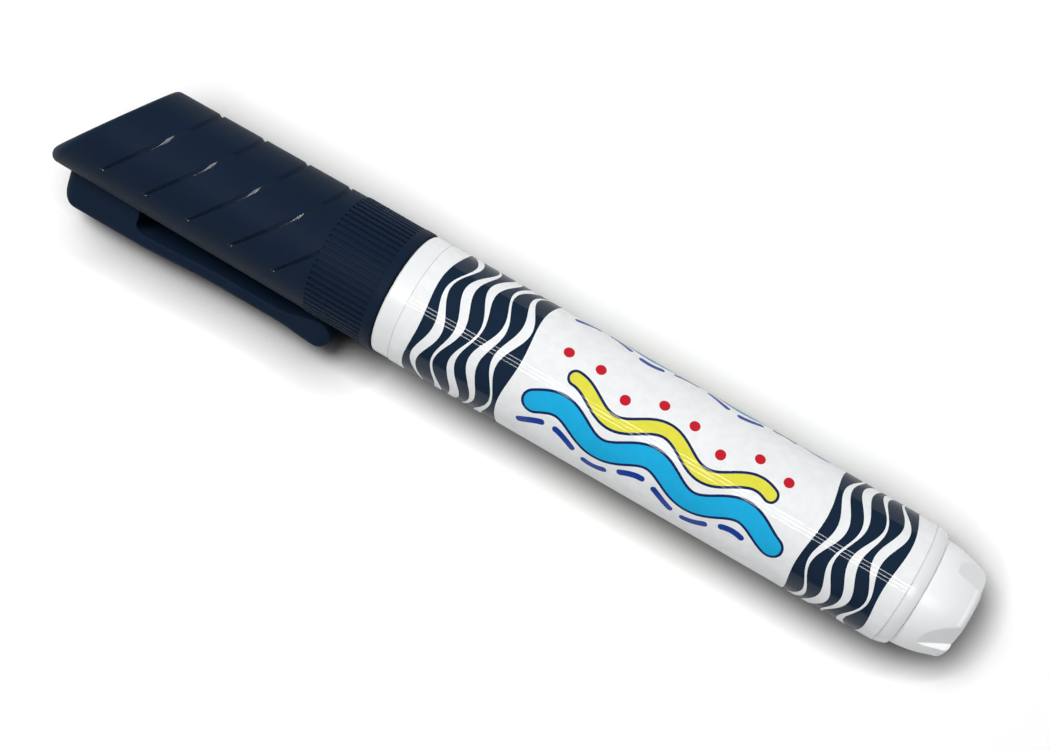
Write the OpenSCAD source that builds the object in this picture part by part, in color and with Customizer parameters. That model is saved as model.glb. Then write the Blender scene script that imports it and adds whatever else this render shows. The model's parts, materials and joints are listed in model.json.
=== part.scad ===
// Capped dry-wipe board marker with a chisel nib, lying on its side with the cap on.
// Each piece is drawn upright about the marker's axis: height 0 is the shoulder that the cap
// seats on, the cap is above it and the barrel below. The clip is on the +X side of the axis.
// lay() then puts the upright marker on the ground: cap towards -X, clip towards -Y and down.

/* [Barrel] */
// Outside diameter of the bare barrel
barrel_d = 16.6; // [15:0.1:19]
// Length of the barrel from the cap's shoulder to the rear lip
barrel_len = 75.3; // [65:0.1:95]
// Wall of the barrel
barrel_wall = 1; // [0.8:0.05:1.4]
// Length of the rounded-in rear lip
lip_len = 1.7; // [1:0.1:3]
// How far the rear lip draws in
lip_drop = 0.4; // [0.2:0.05:0.6]
// Edge break at the cap's shoulder
shoulder_break = 0.25; // [0.1:0.05:0.4]
// Number of ribs inside the barrel that centre the ink core
core_ribs = 6; // [3:1:10]
// Width of one core rib
core_rib_w = 0.8; // [0.5:0.1:1.2]

/* [Neck] */
// Length of the neck that the cap slides over
neck_len = 9.5; // [7:0.1:11]
// Wall of the neck
neck_wall = 1.2; // [0.9:0.05:1.6]
// Height of the grip beads on the neck
bead_h = 0.2; // [0.1:0.05:0.3]
// Height of the first bead above the shoulder
bead_z = 2.4; // [1.5:0.1:3]
// Distance between the beads
bead_pitch = 3.6; // [2.5:0.1:4.5]
// Number of beads
bead_count = 2; // [1:1:2]

/* [Label] */
// Thickness of the printed film
film_t = 0.09; // [0.05:0.01:0.2]
// Bare barrel in front of the film
label_front = 2.6; // [1:0.1:6]
// Bare barrel behind the film, beyond the rounded lip
label_rear = 0.1; // [0.1:0.1:6]

/* [End plug] */
// Length of the plug that shows behind the barrel
plug_len = 6.9; // [5:0.1:10]
// Shoulder of the plug on the barrel's rear face
plug_shoulder = 0.15; // [0.1:0.05:0.3]
// How far the plug draws in from its base to its rear edge
plug_draw = 1.15; // [0.6:0.05:2]
// Radius of the plug's rear edge
plug_edge_r = 1.1; // [0.4:0.1:1.4]
// Length of the spigot inside the barrel
spigot_len = 9; // [6:0.5:12]
// Wall of the spigot
spigot_wall = 1.1; // [0.8:0.1:1.6]
// Thickness of the plug's closed end
plug_floor = 3; // [2.5:0.1:4]
// Number of scoops round the plug's rear edge
scoop_count = 4; // [2:1:6]
// Length of a scoop along the plug
scoop_len = 4.6; // [3:0.1:4.8]
// Angle that a scoop spans at the rear edge
scoop_span = 42; // [25:1:55]
// Depth of a scoop at the rear edge
scoop_depth = 1.5; // [0.8:0.1:1.8]
// Angle of the first scoop's wall from the clip
scoop_turn = 67; // [0:1:180]

/* [Nib holder] */
// Thickness of the holder's flange on the neck
flange_t = 1.2; // [0.8:0.1:1.6]
// Radius of the land that the cap liner seals on
seal_r = 4.85; // [4.2:0.05:5.2]
// Length of the sealing land
seal_len = 4.8; // [3:0.1:6]
// Length of the taper in front of the sealing land
taper_len = 3.6; // [2:0.1:5]
// Wall of the holder round the nib at the tip
holder_tip_wall = 0.9; // [0.6:0.05:1.4]
// Length of the holder's spigot inside the neck and barrel
holder_spigot = 13; // [10.5:0.5:14]
// Wall of the holder's spigot
holder_wall = 1.2; // [0.8:0.1:1.6]
// Number of air channels along the nib
vent_count = 3; // [2:1:6]
// Radius of an air channel
vent_r = 0.35; // [0.2:0.05:0.5]

/* [Nib] */
// Diameter of the nib
nib_d = 5; // [4:0.1:5.6]
// Length of the nib that shows in front of the holder
nib_out = 6.8; // [5:0.1:8]
// Length of the nib inside the ink core
nib_in_core = 4; // [2:0.5:8]
// Thickness of the chisel at its writing edge
chisel_t = 2.2; // [1.6:0.1:3]
// Slant of the writing edge
chisel_slant = 38; // [20:1:50]
// Length of the chisel's flats
chisel_len = 5; // [3:0.1:5]

/* [Ink core] */
// Radial room round the wrapped core, which the barrel's ribs bridge
core_room = 0.61; // [0.4:0.01:1]
// Thickness of the film round the core
wrap_t = 0.12; // [0.08:0.01:0.2]
// Gap between the front of the core and the holder
core_front_gap = 0.5; // [0.2:0.1:0.9]

/* [Cap] */
// Height above the shoulder at which the slanted end crosses the axis
cap_end_z = 44.2; // [40:0.1:48]
// Slant of the cap's end, longest on the clip side
cap_slant = 40; // [25:0.5:45]
// How far the cap's smooth rim stands out beyond the bare barrel
rim_proud = 0.15; // [0.05:0.05:0.6]
// Height of the smooth rim
rim_h = 1.5; // [1:0.1:2.5]
// Height of the ribbed collar's upper edge
collar_top = 9.8; // [8:0.1:12]
// Number of ribs on the collar
rib_count = 60; // [40:2:80]
// How far the rib crests lie below the rim
rib_set = 0.08; // [0.05:0.01:0.15]
// Depth of the ribs
rib_depth = 0.3; // [0.15:0.05:0.4]
// Share of the rib pitch that the crest takes
rib_crest = 0.4; // [0.3:0.05:0.5]
// How far the cap's body draws in from the rim at the collar
body_set = 0.2; // [0.05:0.05:0.3]
// Taper of the cap's body on the radius, per millimetre of height
body_taper = 0.011; // [0.005:0.001:0.015]
// Radius of the edge round the slanted end
cap_edge_r = 1.2; // [0.8:0.1:1.6]
// Wall of the cap beyond its step
cap_wall = 1.25; // [1:0.05:1.5]

/* [Cap grooves] */
// Number of slanted grip grooves
groove_count = 5; // [3:1:5]
// Distance from the slanted end to the first groove along the axis
groove_first = 6.4; // [4:0.1:7]
// Distance between grooves along the axis
groove_pitch = 6.3; // [5:0.1:6.6]
// Width of a groove
groove_w = 0.9; // [0.5:0.1:1.4]
// Depth of a groove
groove_depth = 0.4; // [0.2:0.05:0.5]
// Half of the plain angle that the grooves leave round the clip
groove_stop = 74; // [45:1:90]

/* [Cap liner] */
// Gap between the liner's flange and the nib holder's
liner_gap = 0.7; // [0.4:0.1:1.5]
// Room between the nib's tip and the liner's closed end
nib_room = 6; // [4.5:0.1:8]
// Wall of the liner
liner_wall = 0.9; // [0.7:0.05:1.2]
// Thickness of the liner's flange
liner_flange_t = 1.1; // [0.8:0.1:1.4]
// Number of centring fins on the liner
fin_count = 4; // [3:1:8]
// Thickness of a fin
fin_t = 1.2; // [0.8:0.1:1.6]
// Height of a fin
fin_h = 6; // [3:0.5:9]

/* [Clip] */
// How far the arm's outer face stands out beyond the rim
clip_stand = 3.6; // [2.6:0.05:4]
// How far the clip's root stands out beyond the arm
clip_rise = 0.6; // [0.2:0.05:1]
// Length over which the arm comes down from its root
clip_ease = 13; // [8:0.5:18]
// Thickness of the clip's arm
clip_t = 2; // [1.2:0.05:2.4]
// Width of the clip
clip_w = 5.6; // [4:0.1:7]
// Height of the clip's root end
clip_top = 46.3; // [42:0.1:48]
// Radius of the clip's root end
clip_root_r = 1.8; // [1:0.1:2.4]
// Height of the bending line, where the arm leaves its root
clip_bend_z = 35.6; // [32:0.1:38]
// Height of the clip's free end
clip_foot = 6.2; // [4:0.05:9]
// How far the free end stands out beyond the arm
clip_kick = 0.5; // [0.2:0.05:0.8]
// Length of the swell at the free end
clip_swell = 6; // [4:0.1:9]
// Gap between the clip's foot and the ribbed collar
clip_gap = 0.3; // [0.2:0.05:0.8]
// Radius of the clip's long outer edges
clip_edge_r = 0.9; // [0.4:0.1:1.2]

/* [Clearances] */
// Radial clearance of a pressed-in piece
press_gap = 0.02; // [0.01:0.01:0.04]
// Radial clearance of a piece that slides
slide_gap = 0.05; // [0.03:0.01:0.1]
// Gap between the cap's rim and the shoulder
seat_gap = 0.1; // [0.05:0.05:0.3]
// Thickness of the label's adhesive
bond_t = 0.01; // [0.01:0.005:0.03]

/* [Hidden] */
$fn = 96;
reach = 1.5 * cap_end_z;
sink = 0.4;

barrel_r = barrel_d / 2;
label_r = barrel_r + bond_t + film_t;
bore_r = barrel_r - barrel_wall;
rear_z = -barrel_len;
plug_z = rear_z - plug_len;
spigot_z = rear_z + spigot_len;

cap_bore_r = bore_r;
bead_r = cap_bore_r - slide_gap;
neck_r = bead_r - bead_h;
neck_bore_r = neck_r - neck_wall;
funnel_z = neck_len - holder_spigot - sink;
funnel_h = bore_r - neck_bore_r;

holder_spigot_r = neck_bore_r - press_gap;
flange_top = neck_len + flange_t;
seal_z = flange_top + sink;
seal_top = seal_z + seal_len;
holder_top = seal_top + taper_len;
holder_rear = neck_len - holder_spigot;
nib_r = nib_d / 2;
nib_bore_r = nib_r + press_gap;
holder_tip_r = nib_bore_r + holder_tip_wall;
nib_top = holder_top + nib_out;
core_front = holder_rear - core_front_gap - funnel_h;
core_rear = spigot_z + press_gap;
nib_rear = core_front - nib_in_core;
wrap_r = bore_r - core_room;
core_r = wrap_r - wrap_t - press_gap;

rim_r = barrel_r + rim_proud;
body_r = rim_r - body_set;
slant_k = tan(cap_slant);
slant_len = sqrt(1 + slant_k * slant_k);
rib_crest_r = rim_r - rib_set;
rib_root_r = rib_crest_r - rib_depth;
cap_inner_r = body_r - body_taper * (cap_end_z - collar_top) - cap_wall;
tip_depth = 2 * cap_edge_r;
tip_slice = 0.4;
tip_inset = 0.03;
edge_ring_r = body_radius(cap_end_z) - cap_edge_r - tip_inset;
edge_ring_z = cap_end_z - cap_edge_r * slant_len;
cap_top = edge_ring_z + slant_k * edge_ring_r + cap_edge_r;
edge_steps = 48;

liner_flange_z = flange_top + liner_gap;
cap_step_z = liner_flange_z + liner_flange_t;
liner_top = nib_top + nib_room + liner_wall;
liner_r = seal_r + slide_gap;
fin_r = cap_inner_r - press_gap;

clip_r = rim_r + clip_stand;
clip_in_r = clip_r - clip_t;
root_r = clip_r + clip_rise;
bend_r = root_r - clip_t / 2;
ease_z = clip_bend_z - clip_ease;
knuckle_r = clip_t / 2;
knuckle_seat = clip_t / 4;
foot_in_r = rim_r + clip_gap;
foot_out_r = clip_r + clip_kick;
foot_r = (foot_out_r - foot_in_r) / 2;
foot_mid_r = (foot_out_r + foot_in_r) / 2;
foot_mid_z = clip_foot + foot_r;
swell_z = foot_mid_z + clip_swell;

ground_r = max(rim_r, label_r);
corner_x = max(foot_out_r, root_r) - clip_edge_r;
corner_y = clip_w / 2 - clip_edge_r;
clip_roll = asin((ground_r - clip_edge_r) / norm([corner_x, corner_y])) - atan2(corner_y, corner_x);
clip_reach = corner_x * cos(clip_roll) + corner_y * sin(clip_roll) + clip_edge_r;
lay_x = (cap_top + plug_z) / 2;
lay_y = (clip_reach - ground_r) / 2;

// Radius of the cap's tapered body at a height above the shoulder
function body_radius(z) = body_r - body_taper * (z - collar_top);

// Points on an arc round c, from angle a to angle b in n steps
function arc(c, r, a, b, n = 8) =
    [for (i = [0 : n]) c + r * [cos(a + (b - a) * i / n), sin(a + (b - a) * i / n)]];

// Soft step from 0 to 1 as u goes from 0 to 1
function ease(u) = (1 - cos(180 * u)) / 2;

// Points of a soft curve from p to q, upright at both ends
function sweep(p, q, n = 8) =
    [for (i = [0 : n]) [p[0] + (q[0] - p[0]) * ease(i / n), p[1] + (q[1] - p[1]) * i / n]];

// Puts the upright marker on the ground, resting on its barrel and its clip
module lay() {
    translate([lay_x, lay_y, ground_r])
        rotate([90 + clip_roll, 0, 0])
            rotate([0, -90, 0])
                children();
}

// The space under a plane that slants like the cap's end and crosses the axis at z
module under_slant(z) {
    translate([0, 0, z])
        rotate([0, -cap_slant, 0])
            translate([-reach, -reach, -2 * reach])
                cube(2 * reach);
}

// A cut through the whole cap that slants like its end, t thick, with its middle at z on the axis
module slant_slab(z, t) {
    translate([0, 0, z])
        rotate([0, -cap_slant, 0])
            cube([2 * reach, 2 * reach, t], center = true);
}

// The tapered body of the cap above its collar, drawn in by d
module body_cone(d = 0) {
    translate([0, 0, collar_top])
        cylinder(h = reach - collar_top, r1 = body_r - d, r2 = body_radius(reach) - d);
}

// The cap's slanted end with its rounded edge
module cap_tip() {
    hull() {
        for (i = [0 : edge_steps - 1])
            let (a = 360 * i / edge_steps)
                translate([edge_ring_r * cos(a), edge_ring_r * sin(a),
                           edge_ring_z + slant_k * edge_ring_r * cos(a)])
                    sphere(r = cap_edge_r, $fn = 24);
        intersection() {
            body_cone(tip_inset);
            slant_slab(cap_end_z - tip_depth * slant_len, tip_slice);
        }
    }
}

// One slanted groove at height z on the axis, which stops short of the clip
module groove(z) {
    difference() {
        intersection() {
            slant_slab(z, groove_w);
            cylinder(h = reach, r = rim_r + 1);
        }
        body_cone(groove_depth);
        linear_extrude(height = reach)
            polygon([[0, 0],
                     2 * reach * [cos(groove_stop), -sin(groove_stop)],
                     [2 * reach, 0],
                     2 * reach * [cos(groove_stop), sin(groove_stop)]]);
    }
}

// Ribbed collar and smooth rim at the cap's mouth
module collar() {
    pitch = 360 / rib_count;
    flank = pitch * (1 - 2 * rib_crest) / 2;
    crest = pitch * rib_crest;
    translate([0, 0, rim_h])
        linear_extrude(height = collar_top - rim_h)
            polygon([for (i = [0 : rib_count - 1], p = [[0, rib_root_r], [flank, rib_crest_r],
                                                       [flank + crest, rib_crest_r],
                                                       [2 * flank + crest, rib_root_r]])
                         let (a = i * pitch + p[0]) p[1] * [cos(a), sin(a)]]);
    translate([0, 0, seat_gap])
        cylinder(h = rim_h - seat_gap, r = rim_r);
}

// Cross-section of the clip, with its two long outer edges rounded
module clip_section() {
    linear_extrude(height = reach)
        polygon(concat([[0, -clip_w / 2]],
                       arc([corner_x, -corner_y], clip_edge_r, -90, 0),
                       arc([corner_x, corner_y], clip_edge_r, 0, 90),
                       [[0, clip_w / 2]]));
}

// A side view in radius and height, made as wide as the clip
module clip_side(points) {
    translate([0, clip_w / 2, 0])
        rotate([90, 0, 0])
            linear_extrude(height = clip_w)
                polygon(points);
}

// Solid root of the clip, with a hollow for the arm's round end
module clip_root() {
    root_c = [root_r - clip_root_r, clip_top - clip_root_r];
    wall_mid = cap_inner_r + cap_wall / 3;
    difference() {
        intersection() {
            clip_side(concat([[wall_mid, clip_bend_z + knuckle_seat], [root_r, clip_bend_z + knuckle_seat]],
                             arc(root_c, clip_root_r, 0, 90),
                             [[wall_mid, clip_top]]));
            clip_section();
        }
        translate([bend_r, 0, clip_bend_z])
            rotate([90, 0, 0])
                cylinder(h = 2 * clip_w, r = knuckle_r + slide_gap, center = true);
    }
}

// Cutter for one scoop: a ramp that sinks towards an upright wall at angle 0
module scoop() {
    tip = [bore_r + plug_shoulder, 0, plug_z + scoop_len];
    rim_rear = bore_r + plug_shoulder - plug_draw;
    start = [rim_rear * cos(scoop_span), rim_rear * sin(scoop_span), plug_z + plug_edge_r / 2];
    deep = [rim_rear - scoop_depth, 0, plug_z];
    slope = deep - tip;
    low = deep + slope;
    side = start + (start - tip);
    out = [3 * bore_r, 0, 0];
    polyhedron(points = [tip, low, side, tip + out, low + out, side + out],
               faces = [[0, 1, 2], [3, 5, 4], [0, 3, 4, 1], [1, 4, 5, 2], [2, 5, 3, 0]]);
}

module barrel() {
    bead_half = bead_h * 2;
    color("whitesmoke") lay() {
        rotate_extrude()
            polygon(concat([[bore_r, rear_z]],
                           [for (i = [0 : 6]) [barrel_r - lip_drop * pow(1 - i / 6, 2), rear_z + lip_len * i / 6]],
                           [[barrel_r, -shoulder_break], [barrel_r - shoulder_break, 0], [neck_r, 0]],
                           [for (i = [0 : bead_count - 1], p = [[0, -bead_half], [bead_h, 0], [0, bead_half]])
                               [neck_r + p[0], bead_z + i * bead_pitch + p[1]]],
                           [[neck_r, neck_len - bead_h], [neck_r - bead_h, neck_len], [neck_bore_r, neck_len],
                            [neck_bore_r, funnel_z], [bore_r, funnel_z - funnel_h]]));
        for (i = [0 : core_ribs - 1])
            rotate([0, 0, 360 * i / core_ribs])
                translate([wrap_r + slide_gap, -core_rib_w / 2, spigot_z + sink])
                    cube([bore_r + sink - wrap_r - slide_gap, core_rib_w,
                          funnel_z - funnel_h - spigot_z - 2 * sink]);
    }
}

module label_film() {
    color("white") lay()
        difference() {
            translate([0, 0, rear_z + lip_len + label_rear])
                cylinder(h = barrel_len - lip_len - label_rear - label_front, r = label_r);
            translate([0, 0, rear_z - reach])
                cylinder(h = barrel_len + 2 * reach, r = barrel_r + bond_t);
        }
}

module end_plug() {
    base_r = bore_r + plug_shoulder;
    edge_c = [base_r - plug_draw - plug_edge_r, plug_z + plug_edge_r];
    spigot_r = bore_r - press_gap;
    color("whitesmoke") lay()
        difference() {
            rotate_extrude()
                polygon(concat([[0, plug_z]],
                               arc(edge_c, plug_edge_r, -90, 0),
                               [for (i = [1 : 6]) [base_r - plug_draw * pow(1 - i / 6, 2),
                                                   edge_c[1] + (rear_z - edge_c[1]) * i / 6]],
                               [[spigot_r, rear_z], [spigot_r, spigot_z - sink], [spigot_r - sink, spigot_z],
                                [spigot_r - spigot_wall, spigot_z], [spigot_r - spigot_wall, plug_z + plug_floor],
                                [0, plug_z + plug_floor]]));
            for (i = [0 : scoop_count - 1])
                rotate([0, 0, scoop_turn + 360 * i / scoop_count])
                    scoop();
        }
}

module nib_holder() {
    spigot_bore_r = holder_spigot_r - holder_wall;
    color("whitesmoke") lay()
        difference() {
            rotate_extrude()
                polygon([[nib_bore_r, holder_rear], [holder_spigot_r - sink, holder_rear],
                         [holder_spigot_r, holder_rear + sink], [holder_spigot_r, neck_len],
                         [neck_r - bead_h, neck_len], [neck_r - bead_h, flange_top],
                         [seal_r + sink, flange_top], [seal_r, seal_z], [seal_r, seal_top],
                         [holder_tip_r, holder_top], [nib_bore_r, holder_top]]);
            translate([0, 0, holder_rear - sink])
                cylinder(h = holder_spigot, r = spigot_bore_r);
            for (i = [0 : vent_count - 1])
                rotate([0, 0, 360 * i / vent_count])
                    translate([nib_bore_r, 0, holder_rear])
                        cylinder(h = reach, r = vent_r, $fn = 24);
        }
}

module nib() {
    flat_lean = atan2(nib_r - chisel_t / 2, chisel_len);
    color("dimgray") lay()
        difference() {
            union() {
                translate([0, 0, nib_rear + nib_r / 2])
                    cylinder(h = nib_top - nib_rear - nib_r / 2, r = nib_r);
                translate([0, 0, nib_rear])
                    cylinder(h = nib_r / 2, r1 = nib_r / 2, r2 = nib_r);
            }
            for (s = [0, 180])
                rotate([0, 0, s])
                    translate([chisel_t / 2, -nib_d, nib_top])
                        rotate([0, -flat_lean, 0])
                            translate([0, 0, -2 * chisel_len])
                                cube([nib_d, 2 * nib_d, 3 * chisel_len]);
            translate([0, nib_r, nib_top])
                rotate([-chisel_slant, 0, 0])
                    translate([-nib_d, -3 * nib_d, 0])
                        cube([2 * nib_d, 6 * nib_d, 2 * nib_d]);
        }
}

module ink_reservoir() {
    color("dimgray") lay()
        difference() {
            translate([0, 0, core_rear])
                cylinder(h = core_front - core_rear, r = core_r);
            translate([0, 0, nib_rear + nib_r / 2])
                cylinder(h = reach, r = nib_bore_r);
            translate([0, 0, nib_rear - press_gap])
                cylinder(h = nib_r / 2 + press_gap, r1 = nib_r / 2 + press_gap, r2 = nib_bore_r);
        }
}

module reservoir_wrap() {
    color("gainsboro") lay()
        difference() {
            translate([0, 0, core_rear])
                cylinder(h = core_front - core_rear, r = wrap_r);
            translate([0, 0, core_rear - reach])
                cylinder(h = 3 * reach, r = core_r + press_gap);
        }
}

module cap_shell() {
    color("#16171b") lay()
        difference() {
            union() {
                difference() {
                    union() {
                        intersection() {
                            body_cone();
                            under_slant(cap_end_z - tip_depth * slant_len);
                        }
                        cap_tip();
                    }
                    for (i = [0 : groove_count - 1])
                        groove(cap_end_z - groove_first - i * groove_pitch);
                }
                collar();
                clip_root();
            }
            translate([0, 0, -reach])
                cylinder(h = reach + cap_step_z, r = cap_bore_r);
            intersection() {
                cylinder(h = reach, r = cap_inner_r);
                under_slant(cap_end_z - cap_wall * slant_len);
            }
        }
}

module cap_liner() {
    color("white") lay()
        difference() {
            union() {
                translate([0, 0, liner_flange_z])
                    cylinder(h = liner_flange_t, r = cap_bore_r - press_gap);
                translate([0, 0, liner_flange_z])
                    cylinder(h = liner_top - liner_flange_z, r = liner_r + liner_wall);
                intersection() {
                    translate([0, 0, liner_top - fin_h])
                        cylinder(h = fin_h, r = fin_r);
                    for (i = [0 : fin_count - 1])
                        rotate([0, 0, 360 * (i + 0.5) / fin_count])
                            translate([0, -fin_t / 2, 0])
                                cube([reach, fin_t, reach]);
                }
            }
            cylinder(h = liner_top - liner_wall, r = liner_r);
        }
}

module clip() {
    color("#16171b") lay()
        intersection() {
            clip_side(concat(arc([bend_r, clip_bend_z], knuckle_r, 0, 180),
                             sweep([root_r - clip_t, clip_bend_z], [clip_in_r, ease_z]),
                             sweep([clip_in_r, swell_z], [foot_in_r, foot_mid_z]),
                             arc([foot_mid_r, foot_mid_z], foot_r, 180, 360),
                             sweep([foot_out_r, foot_mid_z], [clip_r, swell_z]),
                             sweep([clip_r, ease_z], [root_r, clip_bend_z])));
            clip_section();
        }
}

barrel();
label_film();
end_plug();
nib_holder();
nib();
ink_reservoir();
reservoir_wrap();
cap_shell();
cap_liner();
clip();
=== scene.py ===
"""Looks of a capped dry-wipe board marker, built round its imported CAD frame.

Sizes are in millimetres in the marker's own upright frame: height 0 is the shoulder that the cap seats on,
the cap is above it, the barrel is below it, and the clip is on the +U side. Lie turns them to the row frame.
"""

import json
import logging
import math
from dataclasses import dataclass, field
from enum import Enum

import bmesh
import bpy
import numpy as np
from mathutils import Euler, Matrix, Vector
from mathutils.geometry import delaunay_2d_cdt


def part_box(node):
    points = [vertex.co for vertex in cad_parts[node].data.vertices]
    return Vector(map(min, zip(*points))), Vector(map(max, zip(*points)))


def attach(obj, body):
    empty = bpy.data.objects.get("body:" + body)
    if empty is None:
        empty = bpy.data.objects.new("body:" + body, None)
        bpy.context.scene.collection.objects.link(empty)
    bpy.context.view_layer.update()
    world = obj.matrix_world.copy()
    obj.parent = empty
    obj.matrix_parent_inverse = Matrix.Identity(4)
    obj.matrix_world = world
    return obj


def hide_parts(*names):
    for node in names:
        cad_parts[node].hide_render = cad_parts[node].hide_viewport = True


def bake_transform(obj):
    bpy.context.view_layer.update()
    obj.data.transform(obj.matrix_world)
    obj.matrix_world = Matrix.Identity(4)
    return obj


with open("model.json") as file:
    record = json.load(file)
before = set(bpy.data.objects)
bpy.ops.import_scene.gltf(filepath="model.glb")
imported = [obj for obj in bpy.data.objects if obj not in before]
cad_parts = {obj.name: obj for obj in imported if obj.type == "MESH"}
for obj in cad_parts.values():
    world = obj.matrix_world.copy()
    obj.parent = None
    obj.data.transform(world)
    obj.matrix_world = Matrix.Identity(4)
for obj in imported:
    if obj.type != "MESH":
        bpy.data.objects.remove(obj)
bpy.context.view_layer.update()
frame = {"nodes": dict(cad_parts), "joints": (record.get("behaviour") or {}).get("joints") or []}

MM = 0.001
TURN = 2 * math.pi
SHARP = 35.0  # edges that turn more than this many degrees are sharp
PLASTIC_IOR = 1.49  # refraction of polypropylene and polyethylene
log = logging.getLogger("marker")

Point2 = tuple[float, float]
Profile = list[Point2]


class Body(Enum):
    """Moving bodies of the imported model."""

    BARREL = "barrel"
    CAP = "cap"
    CLIP = "clip"


class Slot(Enum):
    """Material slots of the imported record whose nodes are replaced."""

    BARREL = "barrel_plastic"
    LABEL = "label_film"
    PLUG = "plug_plastic"
    CAP = "cap_plastic"


class Ink(Enum):
    """Printing inks of the label, and the grey painted as shade along its edges, as sRGB hex, with the bare film first.
    """

    FILM = "#f0f2f3"
    DARK = "#17283c"
    NAVY = "#1b2a5e"
    CYAN = "#1fafe3"
    YELLOW = "#e5e04a"
    RED = "#c7212f"
    BLUE = "#1d3f9c"
    # Pale grey painted along the film's front and rear edges as the shade of the film's step, not a printing ink.
    CUT = "#d3d8da"


def linear(code: str) -> tuple[float, float, float, float]:
    """Turns an sRGB hex colour to linear light.

    Args:
        code: the colour, as #rrggbb.

    Returns:
        Red, green, blue and an alpha of 1.
    """
    parts = [int(code[i:i + 2], 16) / 255 for i in (1, 3, 5)]
    return (*[p / 12.92 if p <= 0.04045 else ((p + 0.055) / 1.055) ** 2.4 for p in parts], 1.0)


def add_node(tree: bpy.types.NodeTree, kind: str, inputs: dict | None = None, **settings: object) -> bpy.types.Node:
    """Adds a node with its settings, values and links.

    Args:
        tree: the tree that gets the node.
        kind: the node's type name.
        inputs: for each input, by name or index, a value or the output socket that is linked to it.
        **settings: properties of the node.

    Returns:
        The new node.
    """
    node = tree.nodes.new(kind)
    for key, value in settings.items():
        setattr(node, key, value)
    for key, value in (inputs or {}).items():
        if isinstance(value, bpy.types.NodeSocket):
            tree.links.new(value, node.inputs[key])
        else:
            node.inputs[key].default_value = value
    return node


def empty_tree(owner: bpy.types.Material | bpy.types.World) -> bpy.types.NodeTree:
    """Gives a material or a world an empty node tree.

    Args:
        owner: the material or the world.

    Returns:
        Its tree.
    """
    owner.use_nodes = True
    owner.node_tree.nodes.clear()
    return owner.node_tree


def link(name: str, data: bpy.types.ID) -> bpy.types.Object:
    """Makes an object and links it to the scene.

    Args:
        name: the object's name.
        data: its mesh, lamp or camera.

    Returns:
        The object.
    """
    item = bpy.data.objects.new(name, data)
    bpy.context.scene.collection.objects.link(item)
    return item


def smooth_step(low: float, high: float, x: np.ndarray) -> np.ndarray:
    """Soft step from 0 at low to 1 at high, flat at both ends."""
    t = np.clip((x - low) / (high - low), 0, 1)
    return t * t * (3 - 2 * t)


@dataclass(frozen=True)
class Lie:
    """Where the upright marker lies in the row frame.

    Attributes:
        x: place of the shoulder along the row's X, in mm.
        y: place of the axis along the row's Y, in mm.
        z: height of the axis, in mm.
        roll: how far the clip points below the horizontal, in radians.
    """

    x: float
    y: float
    z: float
    roll: float

    @classmethod
    def from_frame(cls, barrel_len: float) -> "Lie":
        """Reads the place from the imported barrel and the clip's hinge.

        Args:
            barrel_len: length of the barrel behind the shoulder, in mm.

        Returns:
            The marker's place.
        """
        low, high = (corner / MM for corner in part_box("barrel"))
        axis = next(j["axis"] for j in frame["joints"] if j["name"] == "clip_flex")
        return cls(high.x - barrel_len, (low.y + high.y) / 2, (low.z + high.z) / 2, math.atan2(axis[1], -axis[2]))

    def place(self, points: np.ndarray) -> np.ndarray:
        """Turns upright points to the row frame.

        Args:
            points: rows of (towards the clip, sideways, height) in mm.

        Returns:
            The same points in the row frame, in metres.
        """
        u, v, h = np.asarray(points, float).T
        c, s = math.cos(self.roll), math.sin(self.roll)
        return np.stack([self.x - h, self.y - u * c - v * s, self.z - u * s + v * c], 1) * MM

    def top_angle(self) -> float:
        """Angle of the marker's uppermost line, from the clip's side, in radians."""
        return math.pi / 2 + self.roll


def turned(radius: np.ndarray, angle: np.ndarray, height: np.ndarray) -> np.ndarray:
    """Upright points from radius, angle from the clip's side, and height.

    Args:
        radius: distances from the axis, in mm.
        angle: angles, in radians.
        height: heights, in mm.

    Returns:
        Rows of (towards the clip, sideways, height).
    """
    return np.stack([radius * np.cos(angle), radius * np.sin(angle), height + 0 * angle], -1).reshape(-1, 3)


def ring_faces(rows: int, columns: int) -> list[tuple[int, int, int, int]]:
    """Quads of a grid of rings, each ring closed on itself.

    Args:
        rows: number of rings.
        columns: points in a ring.

    Returns:
        The quads, as point indices.
    """
    faces = []
    for i in range(rows - 1):
        a, b = i * columns, (i + 1) * columns
        for j in range(columns):
            k = (j + 1) % columns
            faces.append((a + j, a + k, b + k, b + j))
    return faces


def make_object(name: str, points: np.ndarray, faces: list, material: bpy.types.Material,
                sharp: float = SHARP, polished: np.ndarray | None = None) -> bpy.types.Object:
    """Makes a closed mesh object from points in the row frame.

    Args:
        name: the piece's name.
        points: rows of coordinates, in metres.
        faces: tuples of point indices.
        material: the piece's finish.
        sharp: edges that turn more than this many degrees stay sharp.
        polished: for each point, 1 where the mould's tool was polished.

    Returns:
        The object, linked to the scene, with its doubles merged and its faces outwards.
    """
    mesh = bpy.data.meshes.new(name)
    mesh.from_pydata([tuple(p) for p in points], [], faces)
    if polished is not None:
        mesh.attributes.new("polished", "FLOAT", "POINT").data.foreach_set("value", polished)
    shell = bmesh.new()
    shell.from_mesh(mesh)
    bmesh.ops.remove_doubles(shell, verts=shell.verts, dist=1e-7)
    bmesh.ops.dissolve_degenerate(shell, edges=shell.edges, dist=1e-8)
    bmesh.ops.recalc_face_normals(shell, faces=shell.faces)
    shell.to_mesh(mesh)
    shell.free()
    mesh.shade_smooth()
    mesh.set_sharp_from_angle(angle=math.radians(sharp))
    mesh.materials.append(material)
    return link(name, mesh)


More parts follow.
